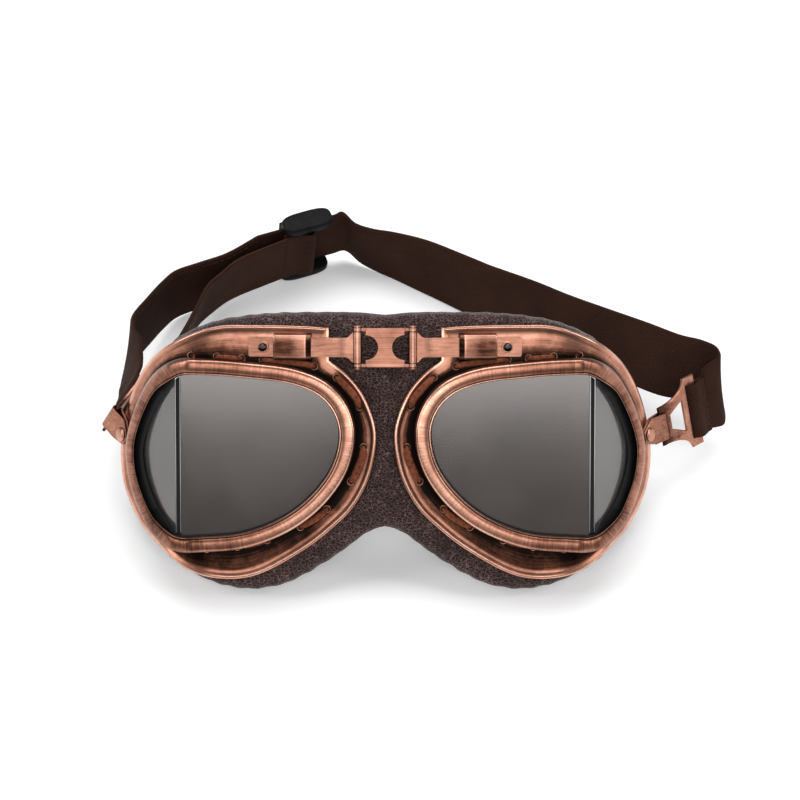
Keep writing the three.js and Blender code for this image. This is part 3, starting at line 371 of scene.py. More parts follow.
# A flat outline, thick between two functions of its points
def plate(line, front, back, wear=0.5):
    shell = Shell()
    count = len(line)
    shell.points = [front(p) for p in line] + [back(p) for p in line]
    shell.wear = [wear] * (2 * count)
    flat = [(p.x, p.y) for p in line]
    shell.faces = [tuple(range(count)), tuple(range(2 * count - 1, count - 1, -1))]
    shell.uvs = [tuple(flat), tuple(flat[::-1])]
    for i in range(count):
        j = (i + 1) % count
        shell.faces.append((i, count + i, count + j, j))
        shell.uvs.append((flat[i], flat[i], flat[j], flat[j]))
    return shell


def flatPlate(outline, front, back, wear=0.6):
    line = [Vector(p) for p in outline]
    return plate(line, lambda q: Vector((q.x, front, q.y)), lambda q: Vector((q.x, back, q.y)), wear)


# A profile of (radius, height) points turned round Z, then placed
def turned(profile, count, wear, matrix=Matrix.Identity(4)):
    shell = loft([circle(r, z, count) for r, z in profile], wear, closedSection=False)
    last = (len(profile) - 1) * count
    for cap in (tuple(range(count)), tuple(range(last, last + count))):
        shell.faces.append(cap)
        shell.uvs.append(tuple((shell.points[i].x, shell.points[i].y) for i in cap))
    return Shell().add(shell, matrix)


def meshOf(name, shell, matrix):
    mesh = bpy.data.meshes.new(name)
    mesh.from_pydata([matrix @ p for p in shell.points], [], shell.faces)
    uvLayer = mesh.uv_layers.new(name="UVMap")
    uvLayer.data.foreach_set("uv", [c for face in shell.uvs for uv in face for c in uv])
    wear = mesh.attributes.new("wear", "FLOAT", "POINT")
    wear.data.foreach_set("value", shell.wear)
    return mesh


def objectFrom(name, data):
    made = bpy.data.objects.new(name, data)
    bpy.context.scene.collection.objects.link(made)
    return made


# The plain mesh that an object's modifiers or curve settings make; the object and its helpers go
def plainMesh(holder, helpers=()):
    graph = bpy.context.evaluated_depsgraph_get()
    mesh = bpy.data.meshes.new_from_object(holder.evaluated_get(graph), depsgraph=graph)
    for gone in (holder, *helpers):
        bpy.data.objects.remove(gone)
    return mesh


# Normals outwards, by the sign of the volume
def faceOut(mesh):
    mesh.calc_loop_triangles()
    volume = 0.0
    for tri in mesh.loop_triangles:
        a, b, c = (mesh.vertices[i].co for i in tri.vertices)
        volume += a.dot(b.cross(c))
    if volume < 0:
        mesh.flip_normals()


def mergedMesh(mesh, distance):
    work = bmesh.new()
    work.from_mesh(mesh)
    bmesh.ops.remove_doubles(work, verts=work.verts, dist=distance)
    bmesh.ops.recalc_face_normals(work, faces=work.faces)
    work.to_mesh(mesh)
    work.free()
    return mesh


# Bevel is (width in mm, segments); a piece without a body is attached, if at all, by the caller
def showPiece(name, mesh, material, body, replaced=(), slot=None, sharp=38, bevel=None):
    faceOut(mesh)
    mesh.polygons.foreach_set("use_smooth", [True] * len(mesh.polygons))
    mesh.set_sharp_from_angle(angle=radians(sharp))
    mesh.materials.clear()
    mesh.materials.append(material)
    piece = objectFrom(name, mesh)
    if bevel:
        rounding = piece.modifiers.new("roundedEdges", "BEVEL")
        rounding.width = bevel[0] * mm
        rounding.segments = bevel[1]
        rounding.limit_method = "ANGLE"
        rounding.angle_limit = radians(35)
        rounding.harden_normals = False
    if body:
        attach(piece, body)
    if replaced:
        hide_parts(*replaced)
    return piece


# A piece of one side, whose name and CAD node both start with the side
def showSide(side, name, shell, local, material, body, node, slot, **more):
    name = side + name
    replaced = [f"{side}_{node}"] if node else ()
    return showPiece(name, meshOf(name, shell, placed(side, local)), material, body, replaced, slot, **more)


# Outlines round an eye

def lerpOver(a, b, start, end, t):
    return a * ((end - t) / (end - start)) + b * ((t - start) / (end - start))


# A smooth line through points, by centripetal Catmull-Rom
def catmull(points, closed, perSpan):
    knots = [Vector(p) for p in points]
    if closed:
        knots = [knots[-1], *knots, knots[0], knots[1]]
    else:
        knots = [2 * knots[0] - knots[1], *knots, 2 * knots[-1] - knots[-2]]
    line = []
    for p0, p1, p2, p3 in zip(knots, knots[1:], knots[2:], knots[3:]):
        t1, t2, t3 = accumulate(max((b - a).length ** 0.5, 1e-6) for a, b in ((p0, p1), (p1, p2), (p2, p3)))
        for k in range(perSpan):
            t = t1 + (t2 - t1) * k / perSpan
            a1, a2 = lerpOver(p0, p1, 0, t1, t), lerpOver(p1, p2, t1, t2, t)
            b1, b2 = lerpOver(a1, a2, 0, t2, t), lerpOver(a2, lerpOver(p2, p3, t2, t3, t), t1, t3, t)
            line.append(lerpOver(b1, b2, t1, t2, t))
    return line if closed else line + [knots[-2]]


# An outline as points by their angle round the eye's centre
class Outline:
    def __init__(self, line):
        polar = sorted((atan2(p.y, p.x) % fullTurn, p) for p in line)
        self.angles = [polar[-1][0] - fullTurn, *(a for a, _ in polar), polar[0][0] + fullTurn]
        self.points = [polar[-1][1], *(p for _, p in polar), polar[0][1]]

    def at(self, angle):
        angle %= fullTurn
        i = min(max(bisect.bisect_right(self.angles, angle), 1), len(self.angles) - 1)
        a, b = self.points[i - 1], self.points[i]
        ray = Vector((cos(angle), sin(angle)))
        before, after = ray.cross(a), ray.cross(b)
        return a.lerp(b, before / (before - after)) if abs(before - after) > 1e-9 else a.copy()

    # the point at an angle and the direction outwards there, evened over a little of the outline
    def rim(self, angle, even=0.02):
        along = (self.at(angle + even) - self.at(angle - even)).normalized()
        return self.at(angle), Vector((along.y, -along.x))


eye = dict(
    spacing=96.0, noseX=-38.0, bendX=22.7, frontSlope=radians(6), sideSlope=radians(52),
    facet=(19.2, 26.1), creaseRound=1.1, flangeBend=30.0, cupDepth=11.5, steps=200,
    bezel=[(-37.9, 5.9), (-35, 15.4), (-28.5, 22.4), (-18, 26.8), (-1.9, 28.9), (14.2, 29.9), (22.9, 29.4),
           (31.4, 23.9), (38, 13.2), (42.2, 0), (42.2, -9), (39.9, -18.4), (34.2, -29.2), (25.8, -35.7),
           (12.5, -36), (-1.7, -34.2), (-16.9, -27.8), (-28.4, -18.2), (-35.7, -6.7)],
    flange=[(-28.9, 40.2), (-19.2, 40.7), (-1.5, 40.9), (8.6, 40.5), (17.9, 37.9), (28, 32.6), (35.8, 24.8),
            (41.4, 14), (45, 0.4), (45.3, -10.1), (43.5, -19.4), (37.7, -30), (29, -37.9), (19.1, -44.3),
            (7, -46.6), (-3.8, -45.1), (-20.6, -35.9), (-30.2, -28.3), (-36.9, -21.5), (-42, -12.4),
            (-44.5, -3.1), (-45, 4.4), (-43.4, 11.1), (-39.6, 19), (-33.7, 25.6), (-28.9, 29)],
)
bezelLine = Outline(catmull(eye["bezel"], True, 12))
flangeLine = Outline(catmull(eye["flange"], False, 12))
eyeAt = Matrix.Translation((eye["spacing"] / 2, 0, 0))
noseRise, sideRise = tan(eye["frontSlope"]), tan(eye["sideSlope"])


# A sheet bent round the temple to a radius, straight before and after it
def sweepDepth(depth, bend, x):
    front, side, bendX = eye["frontSlope"], eye["sideSlope"], eye["bendX"]
    reach = bend * tan((side - front) / 2)
    start = bendX - reach * cos(front)
    end = bendX + reach * cos(side)

    def flat(at):
        return depth + (at - eye["noseX"]) * noseRise

    if x <= start:
        return flat(x)
    if x >= end:
        return flat(bendX) + (x - bendX) * sideRise
    turn = asin((x - start) / bend + sin(front))
    return flat(start) + bend * (cos(front) - cos(turn))


# The bezel's face: two slopes with a flat facet between them
def faceDepth(x):
    near, far = eye["facet"]
    start = (near - eye["noseX"]) * noseRise
    end = (eye["bendX"] - eye["noseX"]) * noseRise + (far - eye["bendX"]) * sideRise
    across = (end - start) / (far - near)
    easing = eye["creaseRound"]

    def eased(t):  # grows from 0 to a straight slope of 1 round a crease
        return 0 if t < -easing else t if t > easing else (t + easing) ** 2 / (4 * easing)

    creases = (across - noseRise) * eased(x - near) + (sideRise - across) * eased(x - far)
    return (x - eye["noseX"]) * noseRise + creases


def paneDepth(x):
    return sweepDepth(pane["depth"], 0.0, x)


def flangeDepth(x):
    return sweepDepth(eye["cupDepth"], eye["flangeBend"], x)


def templeShare(x):
    return smooth(x, eye["bendX"] + 3, eye["bendX"] + 13)


# A width on the sloping face, as it shows from the front
def widthAt(out, x, width):
    slope = mix(eye["frontSlope"], eye["sideSlope"], templeShare(x))
    return width * hypot(out.x * cos(slope), out.y)


# Even angles, with the nearest ones moved to the corners
def ringAngles(steps, corners=()):
    angles = turnsOf(steps)
    for x, z in corners:
        at = atan2(z, x) % fullTurn
        angles[round(at / fullTurn * steps) % steps] = at
    return angles


def lineOf(points, depth):
    return [Vector((p.x, depth(p.x), p.y)) for p in points]


def inward(rims, distance):
    return [at - out * distance for at, out in rims]


bezelRims = [bezelLine.rim(a) for a in ringAngles(eye["steps"])]


# Bezel: a round-faced rim over the cup wall

# its face is (share of the width from the outer edge, share of the crown dropped, brightness)
bezel = dict(
    width=5.4, crown=2.0, thick=0.8, skirtDepth=5.0, skirtThick=0.9, edge=0.25, templeWear=0.6,
    browDull=0.38, chinDull=0.5,
    face=((0.02, 0.64, 0.2), (0.05, 0.38, 0.55), (0.10, 0.17, 1.05), (0.18, 0.06, 0.92), (0.32, 0.02, 0.80),
          (0.50, 0.0, 0.74), (0.64, 0.03, 0.72), (0.76, 0.10, 0.70), (0.835, 0.19, 0.55), (0.865, 0.36, -0.1),
          (0.89, 0.36, 0.1), (0.915, 0.20, 1.0), (0.95, 0.19, 1.15), (0.982, 0.36, 0.9), (1.0, 0.62, 0.4)),
)


def bezelShell():
    b = bezel
    lines, wear, brightness = [], [], []
    # The face is darker towards the temple, and along the brow and chin away from the nose
    for at, out in bezelRims:
        dull = b["browDull"] * smooth(out.y, 0.2, 0.9) + b["chinDull"] * smooth(-out.y, 0.2, 0.9)
        brightness.append(mix(1, b["templeWear"], templeShare(at.x)) * (1 - smooth(out.x, -0.6, 0.1) * dull))

    def row(points, depth, bright):
        lines.append(lineOf(points, lambda x: faceDepth(x) + depth))
        wear.append([bright * w for w in brightness])

    def across(share):
        return [at - out * (share * widthAt(out, at.x, b["width"])) for at, out in bezelRims]

    under = b["crown"] + b["thick"]
    wall = inward(bezelRims, b["skirtThick"])
    row(inward(bezelRims, b["edge"]), b["skirtDepth"], 0.0)
    row(inward(bezelRims, 0), b["skirtDepth"] - b["edge"], 0.0)
    row(inward(bezelRims, 0), 0.95 * b["crown"], 0.05)
    for share, drop, bright in b["face"]:
        row(across(share), drop * b["crown"], bright)
    row(across(1.0), under - 0.2, 0.3)
    row(across(0.96), under, 0.1)
    row(wall, under, 0.1)
    row(wall, b["skirtDepth"], 0.1)
    return loft(lines, wear)


# Frame: the cup wall and its laced flange with a rolled rim, pierced for the lace

# its roll is (inset, drop, share of the lip's height, brightness), and its web (share of the way to the wall,
# brightness)
flange = dict(
    thick=1.0, wall=1.0, lip=0.4, lipWidth=2.3, wallGap=0.3, seat=3.3, fillet=0.9, earClear=7.0,
    # painted light on the web: lighter along the brow, darker along the chin, and darker at the nose towards
    # the wall, where the cup wall casts shade
    noseDark=0.85, browBright=0.26, lowDark=0.3,
    roll=((0.3, 1.0, 0, 0.3), (0.05, 0.75, 0, 0.5), (0.0, 0.35, 0.2, 0.7), (0.15, 0.1, 0.72, 0.9),
          (0.5, 0, 1.0, 0.95), (0.95, 0, 0.97, 0.8), (1.4, 0, 0.7, 0.65), (1.85, 0, 0.25, 0.58),
          (2.3, 0, 0.0, 0.54)),
    web=((0.12, 0.48), (0.35, 0.4), (0.6, 0.28), (0.85, 0.06)),
)
lacing = dict(
    angles=(58.5, 72.3, 88.1, 102.3, 132.7, 144.6, 161.6, 180, 197.9, 217.5, 236, 257.3, 274.6, 290.3),
    out=0.25, outNose=2.9, holeRadius=1.2, radius=0.6, lift=0.2, wide=0.85, wideNose=1.3, flat=0.5,
    cutDepth=5.0,
)
rivet = dict(out=43.4, height=0.6, shank=1.2, head=2.5, headThick=0.7, earRadius=3.8)
earThick = flange["thick"] * cos(eye["sideSlope"])


def towardsNose(degrees):
    return max(0, -cos(radians(degrees))) ** 1.5


def laceHole(degrees):
    at, out = bezelLine.rim(radians(degrees))
    return at + out * (lacing["out"] + lacing["outNose"] * towardsNose(degrees))


laceHoles = [laceHole(degrees) for degrees in lacing["angles"]]


# The roll's height, which dies away under the tongue and at the strap's ear
def lipAt(p):
    edgeX, edgeZ = eye["flange"][-1]
    clear = flange["earClear"]
    underTongue = 1 - smooth(max(p.x - edgeX, (edgeZ - 1) - p.y), 0.2, 3.5)
    atEar = 1 - smooth(abs(p.y - rivet["height"]), clear, clear + 4) if p.x > 0 else 0
    return flange["lip"] * (1 - max(underTongue, atEar))


def flangeShell():
    f = flange
    angles = ringAngles(eye["steps"], [eye["flange"][0], eye["flange"][-1]])
    edges = [flangeLine.rim(a) for a in angles]
    walls = [bezelLine.rim(a) for a in angles]
    wallOut = bezel["skirtThick"] + f["wallGap"]
    wallIn = wallOut + f["wall"]
    lips = [lipAt(at) for at, _ in edges]
    shades = [(1 - smooth(at.x, -40, -14), smooth(at.y, 18, 36), smooth(-at.y, 24, 38)) for at, _ in edges]
    webStart, webEnd = inward(edges, f["lipWidth"]), inward(walls, wallOut - f["fillet"])
    lines, wear = [], []

    def webRow(share, drop, bright):
        points = [a.lerp(b, share) for a, b in zip(webStart, webEnd)]
        lines.append(lineOf(points, lambda x: flangeDepth(x) + drop))
        # painted light: a painted highlight along the brow, painted shade along the chin and in the nose lane
        wear.append([bright + f["browBright"] * brow * (1 - 1.6 * share) - f["lowDark"] * chin
                     - f["noseDark"] * share * nose for nose, brow, chin in shades])

    def wallRow(inset, surface, drop, bright):
        lines.append(lineOf(inward(walls, inset), lambda x: surface(x) + drop))
        wear.append(bright)

    for inset, drop, proud, bright in f["roll"]:
        lines.append([Vector((p.x, flangeDepth(p.x) + drop - proud * lip, p.y))
                      for p, lip in zip(inward(edges, inset), lips)])
        wear.append(bright)
    for share, bright in f["web"]:
        webRow(share, 0.0, bright)
    for turn in (0, 30, 60, 90):
        a = radians(turn)
        wallRow(wallOut - f["fillet"] * (1 - sin(a)), flangeDepth, -f["fillet"] * (1 - cos(a)), -0.15)
    for inset, surface, drop, bright in (
            (wallOut, faceDepth, f["seat"] + 0.5, -0.15), (wallOut + 0.2, faceDepth, f["seat"], 0.1),
            (wallIn - 0.2, faceDepth, f["seat"], 0.1), (wallIn, faceDepth, f["seat"] + 0.4, 0.1),
            (wallIn, flangeDepth, f["thick"] - 0.3, 0.15), (wallIn - 0.3, flangeDepth, f["thick"], 0.2)):
        wallRow(inset, surface, drop, bright)
    for share, _ in f["web"][::-1]:
        webRow(share, f["thick"], 0.2)
    return loft(lines, wear)


templeAt = Matrix.Translation((rivet["out"], flangeDepth(rivet["out"]), rivet["height"])) \
    @ Matrix.Rotation(eye["sideSlope"], 4, "Z")
turnZtoY = Matrix.Rotation(-pi / 2, 4, "X")  # a turned Z axis laid along Y, to the back


# Geometry trees: things set on marked points, each turned to face along its mark

def startTree(name, *sockets):
    tree = bpy.data.node_groups.new(name, "GeometryNodeTree")
    tree.interface.new_socket("Geometry", in_out="INPUT", socket_type="NodeSocketGeometry")
    for socket, kind in (*sockets, ("Finish", "Material")):
        tree.interface.new_socket(socket, in_out="INPUT", socket_type=f"NodeSocket{kind}")
    tree.interface.new_socket("Geometry", in_out="OUTPUT", socket_type="NodeSocketGeometry")
    return tree, Wire(tree).node("NodeGroupInput")


def endTree(given, geometry):
    whole = given.node("GeometryNodeRealizeInstances", {}, {"Geometry": geometry})
    painted = given.node("GeometryNodeSetMaterial", {}, {
        "Geometry": whole, "Material": given.other("Finish")})
    given.node("NodeGroupOutput", {}, {0: painted})


def geometryOf(given, socket):
    return given.node("GeometryNodeObjectInfo", {"transform_space": "ORIGINAL"}, {
        "Object": given.other(socket)}, "Geometry")


def alignedTo(given, attribute, settings, inputs):
    vector = given.node("GeometryNodeInputNamedAttribute", {"data_type": "FLOAT_VECTOR"}, {"Name": attribute})
    return given.node("FunctionNodeAlignRotationToVector", settings, {"Vector": vector, **inputs})


# Pierces a sheet: cutters of one radius stand on the marks and are taken away from it
def pierceTree():
    tree, given = startTree("pierceSheet", ("Marks", "Object"), ("Hole radius", "Float"), ("Depth", "Float"))
    cutter = given.node("GeometryNodeMeshCylinder", {}, {
        "Vertices": 24, "Radius": given.other("Hole radius"), "Depth": given.other("Depth")})
    stood = given.node("GeometryNodeInstanceOnPoints", {}, {
        "Points": geometryOf(given, "Marks"), "Instance": cutter,
        "Rotation": alignedTo(given, "facing", {"axis": "Z"}, {})})
    solid = given.node("GeometryNodeRealizeInstances", {}, {"Geometry": stood})
    endTree(given, given.node("GeometryNodeMeshBoolean", {"operation": "DIFFERENCE", "solver": "EXACT"}, {
        "Mesh 1": given, "Mesh 2": solid}))
    return tree


# Sets a small shape on the marks
def studTree():
    tree, given = startTree("setOnMarks", ("Shape", "Object"))
    facing = alignedTo(given, "facing", {"axis": "Z"}, {})
    along = alignedTo(given, "along", {"axis": "X", "pivot_axis": "Z"}, {"Rotation": facing})
    endTree(given, given.node("GeometryNodeInstanceOnPoints", {}, {
        "Points": given, "Instance": geometryOf(given, "Shape"), "Rotation": along}))
    return tree


# Marks are (place, facing, along)
def marksObject(name, marks):
    mesh = bpy.data.meshes.new(name)
    mesh.from_pydata([place for place, _, _ in marks], [], [])
    for key, column in (("facing", 1), ("along", 2)):
        layer = mesh.attributes.new(key, "FLOAT_VECTOR", "POINT")
        layer.data.foreach_set("vector", [c for mark in marks for c in mark[column]])
    return objectFrom(name, mesh)


def grown(holder, tree, inputs, helper):
    modifier = holder.modifiers.new(tree.name, "NODES")
    modifier.node_group = tree
    for item in tree.interface.items_tree:
        if item.in_out == "INPUT" and item.name in inputs:
            modifier[item.identifier] = inputs[item.name]
    return plainMesh(holder, [helper])


pierceSheet = pierceTree()
setOnMarks = studTree()


def setShape(name, shell, marks, finish):
    shape = objectFrom(name + "Shape", meshOf(name + "Shape", shell, Matrix.Scale(mm, 4)))
    faceOut(shape.data)
    return grown(marksObject(name + "Marks", marks), setOnMarks, {"Shape": shape, "Finish": finish}, shape)


# A mark on each lace hole, facing forwards, -1, or back, 1
def laceMarks(side, facing):
    matrix = placed(side, eyeAt)
    normal = (matrix.to_3x3() @ Vector((0, facing, 0))).normalized()
    return [(matrix @ p, normal, Vector((1, 0, 0))) for p in lineOf(laceHoles, flangeDepth)]


def earShell():
    r = rivet["earRadius"]
    profile = [(r - 0.15, 0.02), (r, 0.15), (r, earThick - 0.17), (r - 0.15, earThick - 0.02)]
    return turned(profile, 40, 0.75, templeAt @ turnZtoY)


def makeFrame(side):
    sheet = meshOf(f"{side}FrameSheet", flangeShell(), placed(side, eyeAt))
    faceOut(sheet)
    marks = marksObject(f"{side}HoleMarks", laceMarks(side, 1))
    pierced = grown(objectFrom(f"{side}FrameHolder", sheet), pierceSheet, {
        "Marks": marks, "Hole radius": lacing["holeRadius"] * mm, "Depth": lacing["cutDepth"] * mm,
        "Finish": ringCopper}, marks)
    showPiece(f"{side}Frame", pierced, ringCopper, f"{side}_eye", [f"{side}_frame"], "copper")
    showSide(side, "FrameEar", earShell(), eyeAt, plateCopper, f"{side}_eye", None, "copper")


# Eyelet edges: the pressed lip round each lace hole

# The rims are set to the brightest copper: worn metal with a painted glint round each lace hole
eyelet = dict(radius=1.2, bead=0.15, wear=1.0)


def eyeletShell():
    radius, bead = eyelet["radius"], eyelet["bead"]
    lines = [circle(radius + bead * cos(a), bead * sin(a), 20) for a in turnsOf(8)]
    return loft(lines, eyelet["wear"])


def makeEyelets(side):
    mesh = setShape(f"{side}Eyelet", eyeletShell(), laceMarks(side, -1), plateCopper)
    showPiece(f"{side}Eyelets", mesh, plateCopper, f"{side}_eye", (), "copper")


# Gasket, panes and divider

pane = dict(depth=5.8, thick=2.0, clear=0.45, lip=1.2, groove=1.6, show=0.3, showTemple=3.0, divider=1.2,
            proud=0.6, seatGap=1.6, edge=0.25, dividerGap=0.3)


# The gasket's inner edge, moved further in by some mm
def gasketLine(further):
    line = []
    for at, out in bezelRims:
        shown = pane["show"] + pane["showTemple"] * templeShare(at.x)
        line.append(at - out * (widthAt(out, at.x, bezel["width"]) + shown + further))
    return line


def gasketShell():
    p = pane
    outer = inward(bezelRims, bezel["skirtThick"] + p["seatGap"])
    inner, soft, groove = gasketLine(0), gasketLine(-p["edge"]), gasketLine(-p["groove"])
    near, far = -p["clear"], p["thick"] + p["clear"]
    front, back = near - p["lip"], far + p["lip"]
    rows = ((outer, front), (soft, front), (inner, front + p["edge"]), (inner, near), (groove, near),
            (groove, far), (inner, far), (inner, back - p["edge"]), (soft, back), (outer, back))
    return loft([lineOf(points, lambda x: paneDepth(x) + drop) for points, drop in rows], 0.5)


def clipped(line, x, keep):
    kept = []
    for a, b in zip(line, line[1:] + line[:1]):
        insideA, insideB = (a.x - x) * keep >= 0, (b.x - x) * keep >= 0
        if insideA:
            kept.append(a)
        if insideA != insideB:
            kept.append(a.lerp(b, (x - a.x) / (b.x - a.x)))
    return kept


# The front pane, -1, or the side pane, 1
def paneShell(which):
    p = pane
    edge = eye["bendX"] + which * (p["divider"] / 2 + p["dividerGap"])
    line = clipped(gasketLine(p["clear"] - p["groove"]), edge, which)
    return plate(line, lambda q: Vector((q.x, paneDepth(q.x), q.y)),
                 lambda q: Vector((q.x, paneDepth(q.x) + p["thick"], q.y)))


def dividerShell():
    p = pane
    half, depth = p["divider"] / 2, paneDepth(eye["bendX"])
    strip = clipped(clipped(gasketLine(p["dividerGap"]), eye["bendX"] - half, 1), eye["bendX"] + half, -1)
    return flatPlate(strip, depth - p["proud"], depth + p["thick"] + p["proud"], 0.5)


def makeEyeGlass(side):
    soft = (0.2, 2)
    for name, shell, material, node, slot, more in (
            ("Bezel", bezelShell(), crossCopper, "bezel", "copper", dict(sharp=60)),
            ("Gasket", gasketShell(), blackRubber, "lens_gasket", "gasket", {}),
            ("FrontPane", paneShell(-1), smokePane, "front_lens", "panes", dict(bevel=soft)),
            ("SidePane", paneShell(1), sidePane, "side_lens", "panes", dict(bevel=soft)),
            ("Divider", dividerShell(), blackRubber, "lens_divider", "gasket", dict(bevel=soft))):
        showSide(side, name, shell, eyeAt, material, f"{side}_eye", node, slot, **more)


for side in sides:
    makeFrame(side)
    makeEyelets(side)
    makeEyeGlass(side)
print("eye cups, panes and gaskets made")


# Lacing: one flat lace, in and out through the holes, narrowed where it goes through

def laceShell():
    lace = lacing
    front = -lace["lift"] - lace["radius"]
    back = flange["thick"] + lace["lift"] + lace["radius"]
    last = len(laceHoles) - 1
    knots = []
    for i, hole in enumerate(laceHoles):
        along = (laceHoles[min(i + 1, last)] - laceHoles[max(i - 1, 0)]).normalized()
        wide = mix(lace["wide"], lace["wideNose"], towardsNose(lace["angles"][i]))
        if i in (0, last):
            knots.append((hole, back, along, 0.7))
            continue
        first, second = (back, front) if i % 2 else (front, back)
        for shift, level, half in (
                (-3.2, first, wide), (-1.5, first * 0.9, wide * 0.92), (-0.35, mix(first, second, 0.3), 0.72),
                (0.35, mix(first, second, 0.7), 0.72), (1.5, second * 0.9, wide * 0.92), (3.2, second, wide)):
            knots.append((hole + along * shift, level, along, half))
    path = catmull([(p.x, flangeDepth(p.x) + level, p.y) for p, level, _, _ in knots], False, 5)
    widths = catmull([(half, along.x, along.y) for _, _, along, half in knots], False, 5)
    profile = [(signedPower(cos(a), 0.6), signedPower(sin(a), 0.8)) for a in turnsOf(14)]
    lines = [[] for _ in profile]
    for i, (at, width) in enumerate(zip(path, widths)):
        along = (path[min(i + 1, len(path) - 1)] - path[max(i - 1, 0)]).normalized()
        across = Vector((width.z, 0, -width.y)).normalized()
        across = (across - along * across.dot(along)).normalized()
        out = along.cross(across)
        wave = 1 + 0.07 * noise.noise(Vector((i * 0.21, 1.7, 0.4)))
        for line, (u, v) in zip(lines, profile):
            line.append(at + across * (u * width.x * wave) + out * (v * lace["flat"]))
    return loft(lines, 0.5, closedAlong=False)


for side in sides:
    showSide(side, "Lacing", laceShell(), eyeAt, laceCord, f"{side}_eye", "lacing", "lace", sharp=70)
print("lacing made")


# Face pads: each half of the leather runs from the middle of the nose round one eye, closed over its foam

# edge is (inset, drop, drop on the nose), crown (share from outer to inner edge, drop, drop on the nose),
# inside (drop), where drops are shares of the depth, and laceSide (inset, drop in mm)
pad = dict(
    top=43.9, arch=-27.9, depth=15.5, inset=1.5, insetTemple=4.4, clear=0.8, laceRoom=1.8, noseRoom=0.95,
    outline=[(-40, 44.6), (-27.8, 44.8), (-3.3, 43.8), (13.1, 40.6), (25.8, 33.8), (34.6, 22), (38.8, 9),
             (40, -3), (39.2, -17), (35.6, -29.2), (27.8, -39.8), (14.6, -47.1), (7.3, -49.4), (-0.9, -50.5),
             (-12.3, -48.8), (-21.5, -44.4), (-33.8, -36.4), (-40.5, -31.2), (-44.8, -28.7)],
    edge=((3.0, 0.0, 0.0), (1.9, 0.012, 0.0), (0.9, 0.05, 0.0), (0.2, 0.13, 0.0), (-0.3, 0.28, 0.28),
          (-0.25, 0.45, 0.45), (0.0, 0.6, 0.6)),
    crown=((0.05, 0.74, 0.78), (0.16, 0.88, 0.9), (0.32, 0.965, 0.965), (0.5, 1.0, 1.0), (0.68, 0.965, 0.965),
           (0.84, 0.88, 0.88), (0.95, 0.74, 0.74)),
    inside=(0.6, 0.36), laceSide=((0.0, 2.2), (0.3, 0.9), (1.0, 0.25), (2.2, 0.0)), front=(0.5, 0.03, 0.03),
    gather=0.5, gatherMm=6.5, gatherRows=((1, 0.4), (2, 0.8), (3, 1.0), (4, 0.8), (5, 0.5)),
    cut=9.4, fill=0.75, rest=0.2, steps=176,
)


def padHalf():
    p = pad
    noseX = -eye["spacing"] / 2
    corners = [(noseX, p["top"]), (noseX, p["arch"])]
    outerLine = Outline(catmull([corners[0], *p["outline"], corners[1]], False, 10))
    topAngle, archAngle = (atan2(z, x) % fullTurn for x, z in corners)
    outer, inner, nose = [], [], []
    for angle in ringAngles(p["steps"], corners):
        at, out = outerLine.rim(angle)
        onNose = topAngle + 1e-6 < angle < archAngle - 1e-6
        if onNose:
            at, out = Vector((noseX, at.y)), Vector((-1, 0))
        elif min(abs(angle - topAngle), abs(angle - archAngle)) < 1e-6:
            out = Vector((0, copysign(1, at.y)))
        outer.append((at, out))
        nose.append(onNose)
        at, out = bezelLine.rim(angle)
        deep = p["inset"] + p["insetTemple"] * smooth(at.x, eye["bendX"] - 6, eye["bendX"] + 8)
        inner.append((at - out * deep, out))
    middle = [a.lerp(b, 0.5) for (a, _), (b, _) in zip(outer, inner)]

    def room(x):
        behind = mix(p["clear"], p["laceRoom"], 1 - smooth(x, eye["noseX"] + 1, eye["noseX"] + 8))
        return mix(p["noseRoom"], behind, smooth(x, noseX, noseX + 7))

    def thin(q):
        low = 1 - smooth(q.y, p["arch"], 6)
        near = 1 - smooth(q.x, noseX, noseX + 16)
        return 1 - 0.34 * low * near

    lines = []

    def row(points, drop, noseDrop):
        line = []
        for q, onNose in zip(points, nose):
            deep = (noseDrop if onNose else drop) * p["depth"] * thin(q)
            line.append(Vector((q.x, flangeDepth(q.x) + flange["thick"] + room(q.x) + deep, q.y)))
        lines.append(line)

    def crownRow(share, drop, noseDrop):
        row([o.lerp(m, share * 2) if share <= 0.5 else m.lerp(n, share * 2 - 1)
             for (o, _), (n, _), m in zip(outer, inner, middle)], drop, noseDrop)

    for inset, drop, noseDrop in p["edge"]:
        row([at - out * (max(inset - 0.2, 0) if onNose else inset) for (at, out), onNose in zip(outer, nose)],
            drop, noseDrop)
    for crown in p["crown"]:
        crownRow(*crown)
    for drop in p["inside"]:
        row(inward(inner, 0), drop, drop)
    behind = flange["thick"] + p["laceRoom"]
    for inset, drop in p["laceSide"]:
        lines.append(lineOf(inward(inner, -inset), lambda x: flangeDepth(x) + behind + drop))
    crownRow(*p["front"])
    run = 0.0
    for k, (at, out) in enumerate(outer):
        run += (at - outer[k - 1][0]).length if k else 0
        if nose[k]:
            continue
        wave = sin(fullTurn * run / p["gatherMm"] + 2.2 * noise.noise(Vector((run * 0.06, 3.1, 0))))
        gather = p["gather"] * wave * (0.6 + 0.6 * noise.noise(Vector((run * 0.11, 8.4, 0))))
        for s, weight in p["gatherRows"]:
            lines[s][k] += Vector((out.x, -0.6 if s < 3 else 0, out.y)) * gather * weight
    return loft(lines, 0.5)


def softened(mesh):
    holder = objectFrom(mesh.name + "Holder", mesh)
    modifier = holder.modifiers.new("soften", "SUBSURF")
    modifier.levels = modifier.render_levels = 1
    return plainMesh(holder)


